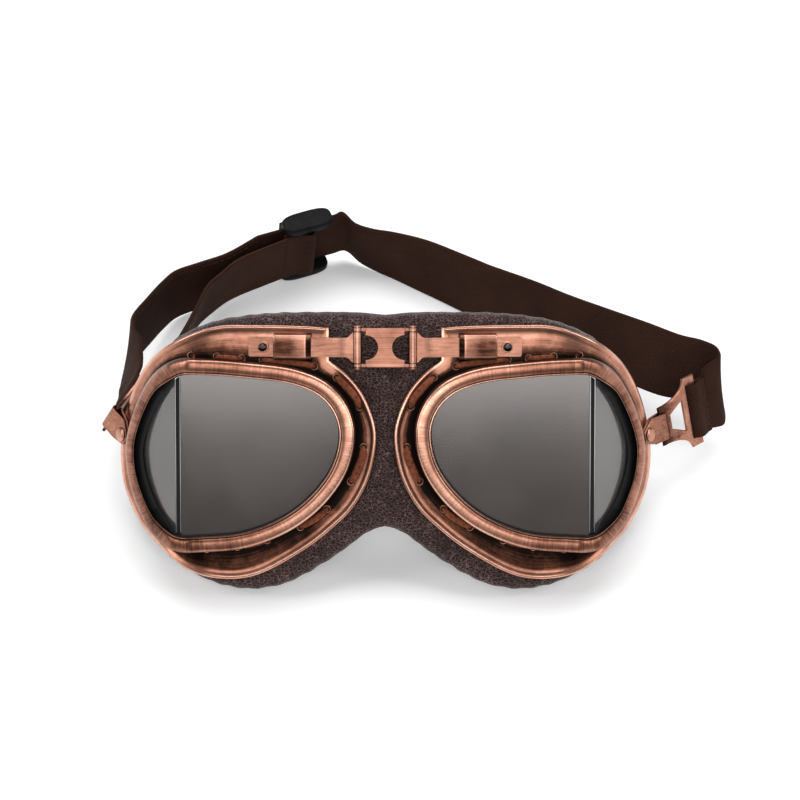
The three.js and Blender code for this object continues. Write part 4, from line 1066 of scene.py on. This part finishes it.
# The part of a mesh on one side of a plane across X, closed over the cut
def beyond(name, mesh, x, direction):
    work = bmesh.new()
    work.from_mesh(mesh)
    bmesh.ops.bisect_plane(work, geom=[*work.verts, *work.edges, *work.faces], dist=1e-7, plane_co=(x, 0, 0),
                           plane_no=(direction, 0, 0), clear_inner=True)
    bmesh.ops.holes_fill(work, edges=[e for e in work.edges if e.is_boundary])
    kept = bpy.data.meshes.new(name)
    work.to_mesh(kept)
    work.free()
    return kept


# The pad half is cut beside the bridge hinge into a nose part and the rest
def makePad(side):
    mesh = meshOf(f"{side}PadHalf", padHalf(), placed(side, eyeAt))
    for vertex in mesh.vertices:  # flat where it rests on the table
        vertex.co.z = max(vertex.co.z, pad["rest"] * mm)
    seam = mesh.attributes.new("crease_edge", "FLOAT", "EDGE")
    for edge in mesh.edges:
        onSeam = all(abs(mesh.vertices[v].co.x - gogglesAt.x) < 1e-6 for v in edge.vertices)
        seam.data[edge.index].value = float(onSeam)
    whole = softened(mesh)
    outward = 1 if side == "right" else -1
    cut, tongue = pad["cut"], f"{side}_tongue"

    def along(reach):
        return toRow @ Vector((outward * reach, 12, 5))

    for name, keep, bodies, start, end, nodes in (
            ("NoseLeather", -outward, ("bridge", tongue), 0.2, 4, ["nose_pad"] if side == "right" else ()),
            ("Leather", outward, (tongue, f"{side}_eye"), cut + 0.2, cut + 6,
             [f"{side}_pad_cover", f"{side}_pad_foam"])):
        part = beyond(side + name, whole, along(cut).x, keep)
        piece = showPiece(side + name, part, pebbledLeather, None, nodes, "leather", 75)
        along(start)
        along(end)
        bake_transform(piece)


for side in sides:
    makePad(side)
print("leather pads made")


# Bridge: link, pins, tongues, studs and keepers

bridge = dict(
    linkHeight=13.3, linkWidth=13.2, linkThick=1.2, linkCut=4.2, arm=1.1, knuckle=1.5, pin=0.7, pinHead=0.5,
    pinRoom=0.2, forward=1.1, tongueHeight=6.6, tongueThick=1.0, tongueEnd=46.5, head=2.4, fillet=1.6,
    bend=0.3, gap=0.3, studAt=41.5, studRadius=1.5, studShank=0.8,
    collar=((1.0, -0.02), (1.9, -0.02), (2.0, 0.12), (1.85, 0.28), (1.0, 0.3)),
    keeperAt=32.5, keeperLength=11.0, keeperThick=0.7, keeperRound=0.9, noseEnd=1.9,
)
hingeAt = Matrix.Translation((hinge["out"], hinge["depth"], hinge["height"]))
browAt = hingeAt @ Matrix.Rotation(eye["frontSlope"], 4, "Z")
tongueBack = bridge["forward"] - bridge["gap"]


def browX(fromMiddle):
    return (fromMiddle - hinge["out"]) / cos(eye["frontSlope"])


def arc(cx, cy, r, start, end, count):
    turns = [radians(mix(start, end, i / count)) for i in range(count + 1)]
    return [(cx + r * cos(t), cy + r * sin(t)) for t in turns]


# A hinge barrel, with a painted highlight in front and painted shade where it turns away
def barrelShell(low, high):
    outer, inner, edge = bridge["knuckle"], bridge["pin"] + bridge["pinRoom"], 0.12
    brightness = [mix(0.05, 1.05, smooth(-sin(t), 0.35, 0.8)) for t in turnsOf(32)]
    profile = ((outer - edge, low), (outer, low + edge), (outer, high - edge), (outer - edge, high),
               (inner, high), (inner, low))
    return loft([circle(r, z, 32) for r, z in profile], [brightness] * len(profile))


def linkShell():
    b = bridge
    half, high, thick = b["linkWidth"] / 2, b["linkHeight"] / 2, b["linkThick"] / 2
    notch = arc(half, 0, b["linkCut"], 270, 90, 18)
    outline = [(-half, -high), (half, -high), *notch, (half, high), (-half, high),
               *((-x, -z) for x, z in notch)]
    shell = flatPlate(outline, -thick, thick, 0.75)
    for sx in (-1, 1):
        near, far = sorted((sx * (half - 0.4), sx * (hinge["out"] - b["knuckle"] + 0.25)))
        for sz in (-1, 1):
            low, top = sorted((sz * high, sz * (high - b["arm"])))
            shell.add(barrelShell(low, top), Matrix.Translation((sx * hinge["out"], 0, 0)))
            shell.add(flatPlate([(near, low), (far, low), (far, top), (near, top)], -thick, thick))
    return shell


def pinShell():
    b = bridge
    high, head, edge = b["linkHeight"] / 2 + b["gap"], b["knuckle"] - 0.2, 0.2
    top = high + b["pinHead"]
    upper = [(b["pin"], high), (head, high), (head, top - edge), (head - edge, top), (0.3, top)]
    return turned([*((r, -z) for r, z in upper[::-1]), *upper], 28, 0.85)


# A strip with a wide head at the hinge and a shallow bend beside it
def tongueShell():
    b = bridge
    half, wide = b["tongueHeight"] / 2, (b["linkHeight"] - 2 * b["arm"] - 2 * b["gap"]) / 2
    end, head, fillet = browX(b["tongueEnd"]), b["head"], b["fillet"]
    neck = head + fillet
    edge = [(0, wide), *arc(head - fillet, wide - fillet, fillet, 90, 0, 8),
            *arc(neck, half + fillet, fillet, 180, 270, 8),
            *((mix(neck, end, t), half) for t in (0.04, 0.08, 0.12, 0.16, 0.2, 0.5)),
            (end - 0.4, half), (end, half - 0.4)]
    lines = []
    for sign, deep in ((1, b["tongueThick"]), (-1, b["tongueThick"]), (-1, 0), (1, 0)):
        line = []
        for k, (x, z) in enumerate(edge):
            back = tongueBack - deep - b["bend"] * (1 - smooth(x, 4.2, 6.4))
            line.append(Vector((x + 1e-4 * k, back, sign * z)))
        lines.append(line)
    return loft(lines, 0.75, closedAlong=False).add(barrelShell(-wide, wide))


def studShells():
    b = bridge
    radius, shank = b["studRadius"], b["studShank"]
    ball = [(radius * sin(t), radius * (1 + cos(t)) + 0.1)
            for t in (pi * (0.06 + 0.84 * i / 14) for i in range(15))]
    at = Matrix.Translation((browX(b["studAt"]), tongueBack - b["tongueThick"], 0)) @ turnZtoY.inverted()
    return turned([(shank, -0.9), (shank, 0.1), *ball[::-1]], 24, 0.7, at), turned(b["collar"], 24, 0.9, at)


# A loop over the tongue, worn bright along its edges, with its nose end pressed down and darkened with
# painted shade
def keeperShell():
    b = bridge
    inside = b["tongueHeight"] / 2 + b["gap"]
    foot = tongueBack
    roof = foot - b["tongueThick"] - 2 * b["gap"]
    length, turn, ease = b["keeperLength"], b["keeperRound"], 0.6
    reach, top = inside + b["keeperThick"], roof - b["keeperThick"]
    inner = [(-inside, foot, 0), (-inside, roof + ease, 0), (-inside + ease, roof, 0),
             (inside - ease, roof, 0), (inside, roof + ease, 0), (inside, foot, 0)]
    upper = [(reach + 0.5, foot, 0.3), (reach, foot - 0.4, 0.2),
             *((z, y, 0.95) for z, y in arc(reach - turn, top + turn, turn, 0, -90, 6)),
             (2.6, top - 0.1, 0.45), (1.3, top - 0.2, 0.3), (0, top - 0.22, 0.27)]
    section = [*inner, *upper, *((-z, y, bright) for z, y, bright in upper[-2::-1])]
    start = browX(b["keeperAt"]) - length / 2
    # stops are (along, drop of the top, brightness added to the top); the nose end, before zero, gets painted
    # shade
    stops = ((-b["noseEnd"], 0.8, -0.4), (-0.35, 0.12, -0.3), (0, 0, 0.75), (0.5, -0.04, 0.35),
             (length / 2, -0.1, 0), (length - 0.8, 0, 0.1), (length - 0.25, 0.06, 0.5), (length, 0.3, 0.3))
    lines, wear = [], []
    for z, y, bright in section:
        on = bright > 0.22 and y < foot - 1
        lines.append([Vector((start + x, y + (down if on else 0), z)) for x, down, _ in stops])
        wear.append([bright + gain if on else bright * (x >= 0) for x, _, gain in stops])
    return loft(lines, wear, closedAlong=False)


rigid = (0.16, 2)
link = meshOf("bridgeLink", linkShell(), toRow @ Matrix.Translation((0, hinge["depth"], hinge["height"])))
showPiece("bridgeLink", link, plateCopper, "bridge", ["bridge_link"], "copper", bevel=rigid)
for side in sides:
    tongue = f"{side}_tongue"
    ball, collar = studShells()
    showSide(side, "HingePin", pinShell(), hingeAt, plateCopper, "bridge", "hinge_pin", "copper")
    showSide(side, "Tongue", tongueShell(), browAt, plateCopper, tongue, "tongue", "copper", bevel=rigid)
    showSide(side, "StopStud", ball, browAt, darkStud, tongue, "stop_stud", "stud")
    showSide(side, "StudCollar", collar, browAt, plateCopper, tongue, None, "copper")
    showSide(side, "Keeper", keeperShell(), browAt, plateCopper, f"{side}_eye", "keeper", "copper",
             bevel=(0.12, 2))
print("bridge made")


# Temples: rivet, folded tab and strap ring

tab = dict(width=9.6, thick=0.7, back=3.2, end=3.4, reach=7.8, flat=2.6, fold=1.15, gap=0.3)
ring = dict(thick=1.2, hingeBar=1.2, web=1.8, window=7.4, slot=2.5, bar=2.2, endWidth=25.4, side=1.7,
            clear=0.3, windowNear=5.9, windowFar=12.8, round=0.42)
restPose = dict(right=dict(swivel=18.0, fold=-12.0), left=dict(swivel=48.0, fold=52.0))
strap = dict(width=25.0, thick=1.3, loopWidth=20.0, room=0.35, layerGap=0.35)
foldAt = -(tab["gap"] + tab["thick"] + tab["fold"])
stackFront = -2 * (tab["gap"] + tab["thick"])  # front of the tab's two layers at the rivet
tabSlot = tab["fold"] + tab["thick"] + ring["clear"]
windowAt = tabSlot + ring["web"]
slotAt = windowAt + ring["window"] + ring["web"]
strapBarAt = slotAt + ring["slot"] + ring["bar"] / 2


def tabMatrix(side):
    return eyeAt @ templeAt @ Matrix.Rotation(-radians(restPose[side]["swivel"]), 4, "Y")


def ringMatrix(side):
    fold = Matrix.Rotation(radians(restPose[side]["fold"]), 4, "Z")
    return tabMatrix(side) @ Matrix.Translation((tab["reach"], foldAt, 0)) @ fold


def rivetShell():
    head, shank, thick = rivet["head"], rivet["shank"], rivet["headThick"]
    front, back = stackFront - tab["gap"], earThick + tab["gap"]
    dome = [(head * sin(t), front - thick * cos(t)) for t in (pi / 2 * i / 8 for i in range(1, 9))]
    profile = [*dome, (shank, front), (shank, back), (head, back), (0.85 * head, back + thick),
               (0.3, back + thick)]
    return turned(profile, 30, 0.95, templeAt @ turnZtoY)


# A teardrop fold: flat layers round the rivet that part round the ring's hinge bar
def tabShell():
    t = tab
    inside, outside = t["fold"], t["fold"] + t["thick"]
    layer = stackFront + t["thick"]
    line = [(-t["back"], foldAt + outside), (t["flat"], foldAt + outside),
            *arc(t["reach"], foldAt, outside, 90, -90, 14), (t["flat"], stackFront), (-t["back"], stackFront),
            (-t["back"], layer), (t["flat"], layer), *arc(t["reach"], foldAt, inside, -90, 90, 14),
            (t["flat"], foldAt + inside), (-t["back"], foldAt + inside)]

    def half(x):
        return mix(t["end"], t["width"], min((x + t["back"]) / (t["flat"] + t["back"]), 1)) / 2

    return plate([Vector(p) for p in line], lambda q: Vector((q.x, q.y, -half(q.x))),
                 lambda q: Vector((q.x, q.y, half(q.x))), 0.65)


# The ring's outline, then its tab slot, window and strap slot
def ringLoops():
    r = ring
    tabHalf, slotHalf = tab["width"] / 2 + r["clear"], strap["loopWidth"] / 2 + r["clear"]
    near, far = tabHalf + r["side"], r["endWidth"] / 2
    curve = [(mix(mix(tabSlot, slotAt - 1, t), mix(slotAt - 1, slotAt, t), t),
              mix(mix(near, near + 1, t), mix(near + 1, far, t), t)) for t in (k / 10 for k in range(11))]
    upper = [(-r["hingeBar"] / 2, near), *curve, (slotAt + 0.5, far), (strapBarAt + r["bar"] / 2, far)]
    loops = [[(x, -z) for x, z in upper] + upper[::-1]]
    for start, startHalf, end, endHalf in (
            (r["hingeBar"] / 2, tabHalf, tabSlot, tabHalf),
            (windowAt, r["windowNear"] / 2, windowAt + r["window"], r["windowFar"] / 2),
            (slotAt, slotHalf, slotAt + r["slot"], slotHalf)):
        loops.append([(start, -startHalf), (end, -endHalf), (end, endHalf), (start, startHalf)])
    return loops


def ringMesh(name, matrix):
    curve = bpy.data.curves.new(name, "CURVE")
    curve.dimensions = "2D"
    curve.fill_mode = "BOTH"
    curve.extrude = ring["thick"] / 2 - ring["round"]
    curve.bevel_depth = ring["round"]
    curve.bevel_resolution = 3
    for loop in ringLoops():
        spline = curve.splines.new("POLY")
        spline.points.add(len(loop) - 1)
        for point, (x, z) in zip(spline.points, loop):
            point.co = (x, z, 0, 1)
        spline.use_cyclic_u = True
    mesh = plainMesh(objectFrom(name + "Holder", curve))
    # Darker at the hinge bar, where the ring sits in the tab's fold: painted shade; brighter towards the
    # strap bar
    wear = mesh.attributes.new("wear", "FLOAT", "POINT")
    wear.data.foreach_set("value", [mix(0.2, 0.85, smooth(v.co.x, 0.5, windowAt + 2)) for v in mesh.vertices])
    mesh.transform(matrix @ Matrix.Rotation(pi / 2, 4, "X"))
    return mergedMesh(mesh, 0.02 * mm)


for side in sides:
    showSide(side, "TabRivet", rivetShell(), eyeAt, plateCopper, f"{side}_eye", "tab_rivet", "copper")
    showSide(side, "StrapTab", tabShell(), tabMatrix(side), plateCopper, f"{side}_tab", "strap_tab", "copper",
             bevel=(0.18, 2))
    showPiece(f"{side}StrapRing", ringMesh(f"{side}StrapRing", placed(side, ringMatrix(side))), plateCopper,
              f"{side}_ring", [f"{side}_strap_ring"], "copper")
print("strap tabs and rings made")


# Stitches: small threads set on marks, with a finish of their own

stitch = dict(length=1.9, radius=0.2, pitch=2.5, inset=2.0, sink=0.04,
              taper=((-1, 0.3), (-0.8, 0.9), (0, 1.15), (0.8, 0.9), (1, 0.3)))


def stitchShell():
    half, radius = stitch["length"] / 2, stitch["radius"]
    lines = [[Vector((x * half, radius * r * cos(a), radius * r * sin(a))) for x, r in stitch["taper"]]
             for a in turnsOf(6)]
    return loft(lines, 0.5, closedAlong=False)


def middleOf(pair):
    return (pair[0] + pair[1]) / 2


def lengthOf(pairs):
    return sum((middleOf(a) - middleOf(b)).length for a, b in zip(pairs, pairs[1:]))


# Marks along one edge of a ribbon, on one of its faces
def edgeRow(pairs, face, edge):
    marks, run = [], stitch["pitch"] / 2
    for before, after in zip(pairs, pairs[1:]):
        step = middleOf(after) - middleOf(before)
        along, across = step.normalized(), (after[0] - after[1]).normalized()
        out = along.cross(across).normalized() * face
        while run <= step.length:
            near = before[0 if edge > 0 else 1] + step * (run / step.length)
            at = near - across * (edge * stitch["inset"]) + out * (strap["thick"] / 2 + stitch["sink"])
            marks.append((onTable @ at, out, along))
            run += stitch["pitch"]
        run -= step.length
    return marks


# Strap: stations on the table in mm, each a centre, an across direction and a half width

# spans are (x, y, height of the lower edge, lean in degrees)
route = dict(
    right=[(117.3, 57.6, 12, -24), (119.2, 60.6, 12.9, -14), (119.7, 63.6, 13.3, -5), (117.2, 66.4, 13.5, 6),
           (111.8, 69, 13.4, 16), (103.2, 73, 12.4, 24), (92.3, 81.6, 10.2, 26), (78.4, 91.8, 7.6, 24),
           (64.3, 102.6, 4.8, 20), (53.2, 111.8, 2.8, 17), (37, 123.3, 0.6, 12)],
    back=[(26, 131, 0.2, 9), (14, 138.6, 0.13, 5.5), (3, 144.2, 0.13, -2.5), (-5, 147.2, 0.7, -9),
          (-11, 150, 1.8, -12)],
    left=[(-60.6, 131.4, 2.2, -8), (-70.2, 127, 1, -5), (-79, 121.6, 1.4, -4), (-83.4, 114, 3, -4),
          (-88, 101.9, 6.2, -4), (-92.6, 87, 10.8, -5), (-93.2, 77.6, 14, -11), (-91.8, 70, 16.2, -20)],
    inner=[(-82.4, 66.8, 12.8, 23), (-78.8, 76, 11, 19), (-75.2, 86, 9.2, 16), (-72.6, 95.4, 7.2, 14),
           (-71, 103.6, 5.8, 15), (-68.2, 112.8, 4.8, 15), (-63.6, 119.6, 4.4, 15), (-57.6, 126.8, 4.2, 14)],
    slideFrom=(-16.5, 153.2), slideTo=(-49.3, 139.5), slideFoot=5, slideLean=-13, sliderAt=0.46,
    loopLeg=6.2, endLeg=10.4, sewnFrom=4.4, sewnShort=0.6, openLeg=7.0,
    rightCuts=(14, 34, 52, 118), leftCuts=(10, 24, 38, 84), innerCuts=(10, 22, 34, 62),  # mm from the ring
    perSpan=9, perLoop=6,
)
slider = dict(length=19.6, end=3.4, bar=2.4, barThick=1.8, gap=0.3, crown=0.5, square=0.62, tenon=0.5,
              cap=((0, 0.25), (0.05, 0.08), (0.14, 0), (0.6, 0), (0.78, 0.06), (0.92, 0.28), (0.98, 0.6),
                   (1, 1.2)))


def standing(points):
    made = []
    half = strap["width"] / 2
    for i, (x, y, foot, lean) in enumerate(points):
        before, after = points[max(i - 1, 0)], points[min(i + 1, len(points) - 1)]
        along = Vector((after[0] - before[0], after[1] - before[1], 0)).normalized()
        out = Vector((along.y, -along.x, 0))
        tilt = radians(lean)
        across = Vector((0, 0, cos(tilt))) + out * sin(tilt)
        made.append((Vector((x, y, foot + half * cos(tilt))), across, half))
    return made


# A turn round a bar, with legs of (distance out, distance aside) stations before and after it
def hairpin(at, axis, out, radius, half, legIn, legOut):
    aside = axis.cross(out).normalized()
    bend = [(-radius * sin(t), -radius * cos(t)) for t in (pi * i / 8 for i in range(9))]
    return [(at + out * a + aside * c, axis, half) for a, c in (*legIn, *bend, *legOut)]


def ringBar(side):
    matrix = onTable.inverted() @ placed(side, ringMatrix(side))
    start, at = matrix @ Vector((0, 0, 0)), matrix @ Vector((strapBarAt, 0, 0))
    axis = (matrix @ Vector((0, 0, 1)) - start).normalized()
    return at, axis, (at - start).normalized()


def sewnLegs(length):
    apart, start = (strap["thick"] + strap["layerGap"]) / 2, route["sewnFrom"]
    return [(length - route["sewnShort"], -apart), (start, -apart)], [(start, apart), (length, apart)]


loopRadius = hypot(ring["bar"], ring["thick"]) / 2 + strap["room"] + strap["thick"] / 2
openLeg = route["openLeg"]
openLegs = ([(openLeg, -loopRadius - 0.6), (openLeg / 2, -loopRadius - 0.3)],
            [(openLeg / 2, loopRadius + 0.8), (openLeg, loopRadius + 2.4)])
slideFrom, slideTo = Vector(route["slideFrom"]), Vector(route["slideTo"])
straight = [(*slideFrom.lerp(slideTo, t), route["slideFoot"], route["slideLean"]) for t in (0, 0.12, 0.5, 1)]
straightSpan = standing(straight)
rightLoop = hairpin(*ringBar("right"), loopRadius, strap["loopWidth"] / 2, *sewnLegs(route["loopLeg"]))
leftLoop = hairpin(*ringBar("left"), loopRadius, strap["loopWidth"] / 2, *openLegs)
rightCount = len(route["right"])
rightSpan = [rightLoop[-1], *standing(route["right"] + route["back"])[:rightCount]]
backSpan = [rightSpan[-1], *standing(route["right"] + route["back"] + straight)[rightCount:]]
leftSpan = [backSpan[-1], *standing(straight + route["left"])[len(straight):], leftLoop[-1]]

slideAlong = (slideTo - slideFrom).normalized().to_3d()
leaning = straightSpan[2][1]
sliderAcross = (leaning - slideAlong * leaning.dot(slideAlong)).normalized()
sliderOut = sliderAcross.cross(-slideAlong)
sliderCentre = straightSpan[0][0].lerp(straightSpan[-1][0], route["sliderAt"])
sliderTurn = Matrix((-slideAlong, sliderOut, sliderAcross)).transposed().to_4x4()
sliderMatrix = Matrix.Translation(sliderCentre) @ sliderTurn
barTurn = hypot(slider["bar"], slider["barThick"]) / 2 + strap["room"] / 2 + strap["thick"] / 2
middleBarY = -(strap["thick"] + strap["layerGap"] + barTurn)
outerBarY = strap["thick"] / 2 + strap["room"] + slider["barThick"] / 2
endBar = sliderMatrix @ Vector((0, middleBarY, 0))
endLoop = hairpin(endBar, sliderAcross, slideAlong, barTurn, strap["width"] / 2, *sewnLegs(route["endLeg"]))
innerSpan = [leftLoop[0], *standing(route["inner"]), endLoop[-1]]


# The two edges in step, finely spaced
def edgePairs(stations, perSpan):
    def edge(sign):
        points = [at + across.normalized() * (sign * half) for at, across, half in stations]
        return catmull(points, False, perSpan)

    return list(zip(edge(1), edge(-1)))


# One stretch of ribbon with rounded selvages, from its edge pairs
def ribbonShell(pairs):
    middles = [middleOf(pair) for pair in pairs]
    face = [(1.0, 0.0), (0.985, 0.75), (0.95, 1.0), (0.6, 0.94), (0.2, 0.9)]
    upper = [*face, *((-v, n) for v, n in face[::-1])]
    profile = [*upper, *((v, -n) for v, n in upper[-2:0:-1])]
    lines = [[] for _ in profile]
    for i, (a, b) in enumerate(pairs):
        along = (middles[min(i + 1, len(pairs) - 1)] - middles[max(i - 1, 0)]).normalized()
        out = along.cross(a - b).normalized() * (strap["thick"] / 2)
        for line, (v, n) in zip(lines, profile):
            line.append(middles[i] + (a - b) * (v / 2) + out * n)
    return loft(lines, 0.5, closedAlong=False)


# A piece of strap, or its seam, moves with one body; a piece between two bodies is left where it is
def follow(piece, body, pairs):
    if isinstance(body, str):
        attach(piece, body)
        return
    near, far = middleOf(pairs[0]), middleOf(pairs[-1])
    margin = (far - near) * 0.06
    onTable @ (near + margin)
    onTable @ (far - margin)
    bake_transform(piece)


def makeStrap(name, pairs, body, replaced, seams=()):
    mesh = meshOf(name, ribbonShell(pairs), onTable)
    piece = showPiece(name, mesh, strapElastic, None, replaced, "elastic", 50)
    follow(piece, body, pairs)
    width = sum((a - b).length for a, b in pairs) / len(pairs)
    width * mm
    lengthOf(pairs) * mm
    marks = [mark for face, edge in seams for mark in edgeRow(pairs, face, edge)]
    if marks:
        seam = setShape(f"{name}Seam", stitchShell(), marks, strapThread)
        follow(showPiece(f"{name}Seam", seam, strapThread, None, (), "elastic"), body, pairs)
    return lengthOf(pairs)


def makeLoop(name, stations, body, node):
    return makeStrap(name, edgePairs(stations, route["perLoop"]), body, [node])


def splitAt(pairs, cuts):
    length, stops, pieces, start = 0.0, list(cuts), [], 0
    for i in range(1, len(pairs)):
        length += lengthOf(pairs[i - 1:i + 1])
        if stops and length >= stops[0]:
            pieces.append(pairs[start:i + 1])
            start = i
            stops.pop(0)
    return [*pieces, pairs[start:]]


# A span cut by its distance from the ring into pieces between the ring, tab, eye, tongue and bridge;
# a span that runs towards the ring is built backwards
def makeSpan(name, stations, side, cuts, end, node, seams=(), order=1):
    bodies = [f"{side}_ring", f"{side}_tab", f"{side}_eye", f"{side}_tongue", "bridge"]
    chain = [*zip(bodies, bodies[1:]), end]
    length = 0.0
    for k, pairs in enumerate(splitAt(edgePairs(stations, route["perSpan"])[::order], cuts)):
        body = chain[k] if isinstance(chain[k], str) else chain[k][::order]
        length += makeStrap(f"{name}{k + 1}", pairs[::order], body, [] if k else [node], seams)
    return length


total = makeLoop("strapRightLoop", rightLoop, "right_ring", "strap_right_loop")
total += makeSpan("strapRight", rightSpan, "right", route["rightCuts"], "bridge", "strap_right")
total += makeStrap("strapBack", edgePairs(backSpan, route["perSpan"]), "bridge", ["strap_back"])
total += makeSpan("strapLeft", leftSpan, "left", route["leftCuts"], "bridge", "strap_left_outer",
                  [(-1, 1)], order=-1)
total += makeLoop("strapLeftLoop", leftLoop, "left_ring", "strap_left_loop")
total += makeSpan("strapInner", innerSpan, "left", route["innerCuts"], ("bridge", "slider"),
                  "strap_left_inner", [(1, 1), (1, -1)])
total += makeLoop("strapSewnEnd", endLoop, "slider", "strap_sewn_end")
print(f"strap made, {total:.0f} mm in all")


# Slider: moulded end plates, outer bars behind the strap, a middle bar in front

def makeSlider():
    s = slider
    half, bar, thick = s["length"] / 2, s["bar"] / 2, s["barThick"] / 2
    inside = strap["width"] / 2 + s["gap"]
    front, back = middleBarY - thick, outerBarY + thick
    middle, deep = (front + back) / 2, (back - front) / 2 + s["crown"]
    outline = [(half * signedPower(cos(t), s["square"]), deep * signedPower(sin(t), s["square"]))
               for t in turnsOf(40)]
    count = len(outline)
    shell = Shell()

    def addBar(x, y):
        reach = inside + s["tenon"]
        corners = [(x - bar, -reach), (x + bar, -reach), (x + bar, reach), (x - bar, reach)]
        shell.add(flatPlate(corners, y - thick, y + thick, 0.5))

    for end in (-1, 1):
        lines = []
        for share, inset in s["cap"]:
            z = end * mix(inside, inside + s["end"], share)
            lines.append([Vector((x * (1 - inset / half), middle + y * (1 - inset / deep), z))
                          for x, y in outline])
        cap = loft(lines, 0.5, closedSection=False)
        for first in (0, count * (len(lines) - 1)):
            order = 1 if (first == 0) == (end > 0) else -1
            cap.faces.append(tuple(range(first, first + count))[::order])
            cap.uvs.append(tuple(outline))
        shell.add(cap)
        addBar(end * (half - bar), outerBarY)
    addBar(0, middleBarY)
    mesh = mergedMesh(meshOf("strapSlider", shell, onTable @ sliderMatrix), 0.001 * mm)
    showPiece("strapSlider", mesh, blackPlastic, "slider", ["strap_slider"], "slider", 40, bevel=(0.35, 2))


makeSlider()
print("slider made")


# Seams across the strap's sewn ends

def seamAcross(loop, index, shift, face):
    (at, across, half), (inner, _, _) = loop[index], loop[1 if index == 0 else index - 1]
    along = (at - inner).normalized()
    out = along.cross(across).normalized() * face
    centre = at + along * shift + out * (strap["thick"] / 2 + 0.05)
    reach = across.normalized() * (half - stitch["inset"])
    start, run = centre - reach, 2 * reach
    count = max(2, int(run.length / stitch["pitch"]))
    return [(onTable @ (start + run * ((i + 0.5) / count)), out, run.normalized()) for i in range(count)]


for name, marks, body in (
        ("stitchesSewnEnd", seamAcross(endLoop, -1, -1.2, -1) + seamAcross(endLoop, 0, -0.8, 1), "slider"),
        ("stitchesRightLoop", seamAcross(rightLoop, 0, -1.2, 1), "right_ring")):
    showPiece(name, setShape(name, stitchShell(), marks, strapThread), strapThread, body, (), "elastic")
print("stitches made")


# Stage: camera at the photograph's angle, pale floor, soft light

# focal length and the place of the goggles' origin in pixels, distance in mm
view = dict(elevation=45.0, distance=1000.0, focal=2970.0, image=800.0, at=(385.0, 449.0), sensor=36.0)
studio = dict(
    floorHalf=6.0, floorGlow=0.22, ambient=0.24, aim=(0, 0, 0.03),
    lights=(("topSoftbox", (0.0, 0.35, 1.2), (1.3, 0.8), 11),
            ("frontSoftbox", (0.0, -1.05, 0.966), (1.2, 0.35), 5.6),
            ("leftSoftbox", (-0.9, -0.2, 0.6), (0.3, 0.8), 3),
            ("rightSoftbox", (0.9, -0.2, 0.6), (0.3, 0.8), 3)),
)


def aimed(name, data, at, forward):
    made = objectFrom(name, data)
    made.location = at
    made.rotation_mode = "QUATERNION"
    made.rotation_quaternion = forward.to_track_quat("-Z", "Y")
    return made


def makeCamera():
    v = view
    data = bpy.data.cameras.new("camera")
    data.sensor_width = v["sensor"]
    data.lens = v["focal"] / v["image"] * v["sensor"]
    data.clip_start, data.clip_end = 0.05, 20
    tilt = radians(v["elevation"])
    forward = Vector((0, cos(tilt), -sin(tilt)))
    up = Vector((0, sin(tilt), cos(tilt)))
    across, down = ((pixel - v["image"] / 2) / v["focal"] * v["distance"] for pixel in v["at"])
    at = gogglesAt + (-forward * v["distance"] - Vector((across, 0, 0)) + up * down) * mm
    bpy.context.scene.camera = aimed("camera", data, at, forward)


def floorWires(place):
    return dict(Base_Color=ramp(noiseOn(place, 3.0, 2.0), (0.0, (0.90,) * 3), (1.0, (0.93,) * 3)))


def makeStage():
    half = studio["floorHalf"]
    mesh = bpy.data.meshes.new("floor")
    corners = [(-half, -half, 0), (half, -half, 0), (half, half, 0), (-half, half, 0)]
    mesh.from_pydata(corners, [], [(0, 1, 2, 3)])
    mesh.materials.append(finish("paleFloor", floorWires, Roughness=0.9, Emission_Color=(1.0, 1.0, 1.0),
                                 Emission_Strength=studio["floorGlow"]))
    objectFrom("floor", mesh)
    world = bpy.data.worlds.new("studio")
    bpy.context.scene.world = world
    world.use_nodes = True
    background = world.node_tree.nodes["Background"]
    background.inputs["Color"].default_value = (1, 1, 1, 1)
    background.inputs["Strength"].default_value = studio["ambient"]
    for name, at, size, energy in studio["lights"]:
        data = bpy.data.lights.new(name, "AREA")
        data.shape = "RECTANGLE"
        data.size, data.size_y = size
        data.energy = energy
        aimed(name, data, at, Vector(studio["aim"]) - Vector(at))
    bpy.context.scene.view_settings.view_transform = "Standard"  # white stays white


makeCamera()
makeStage()
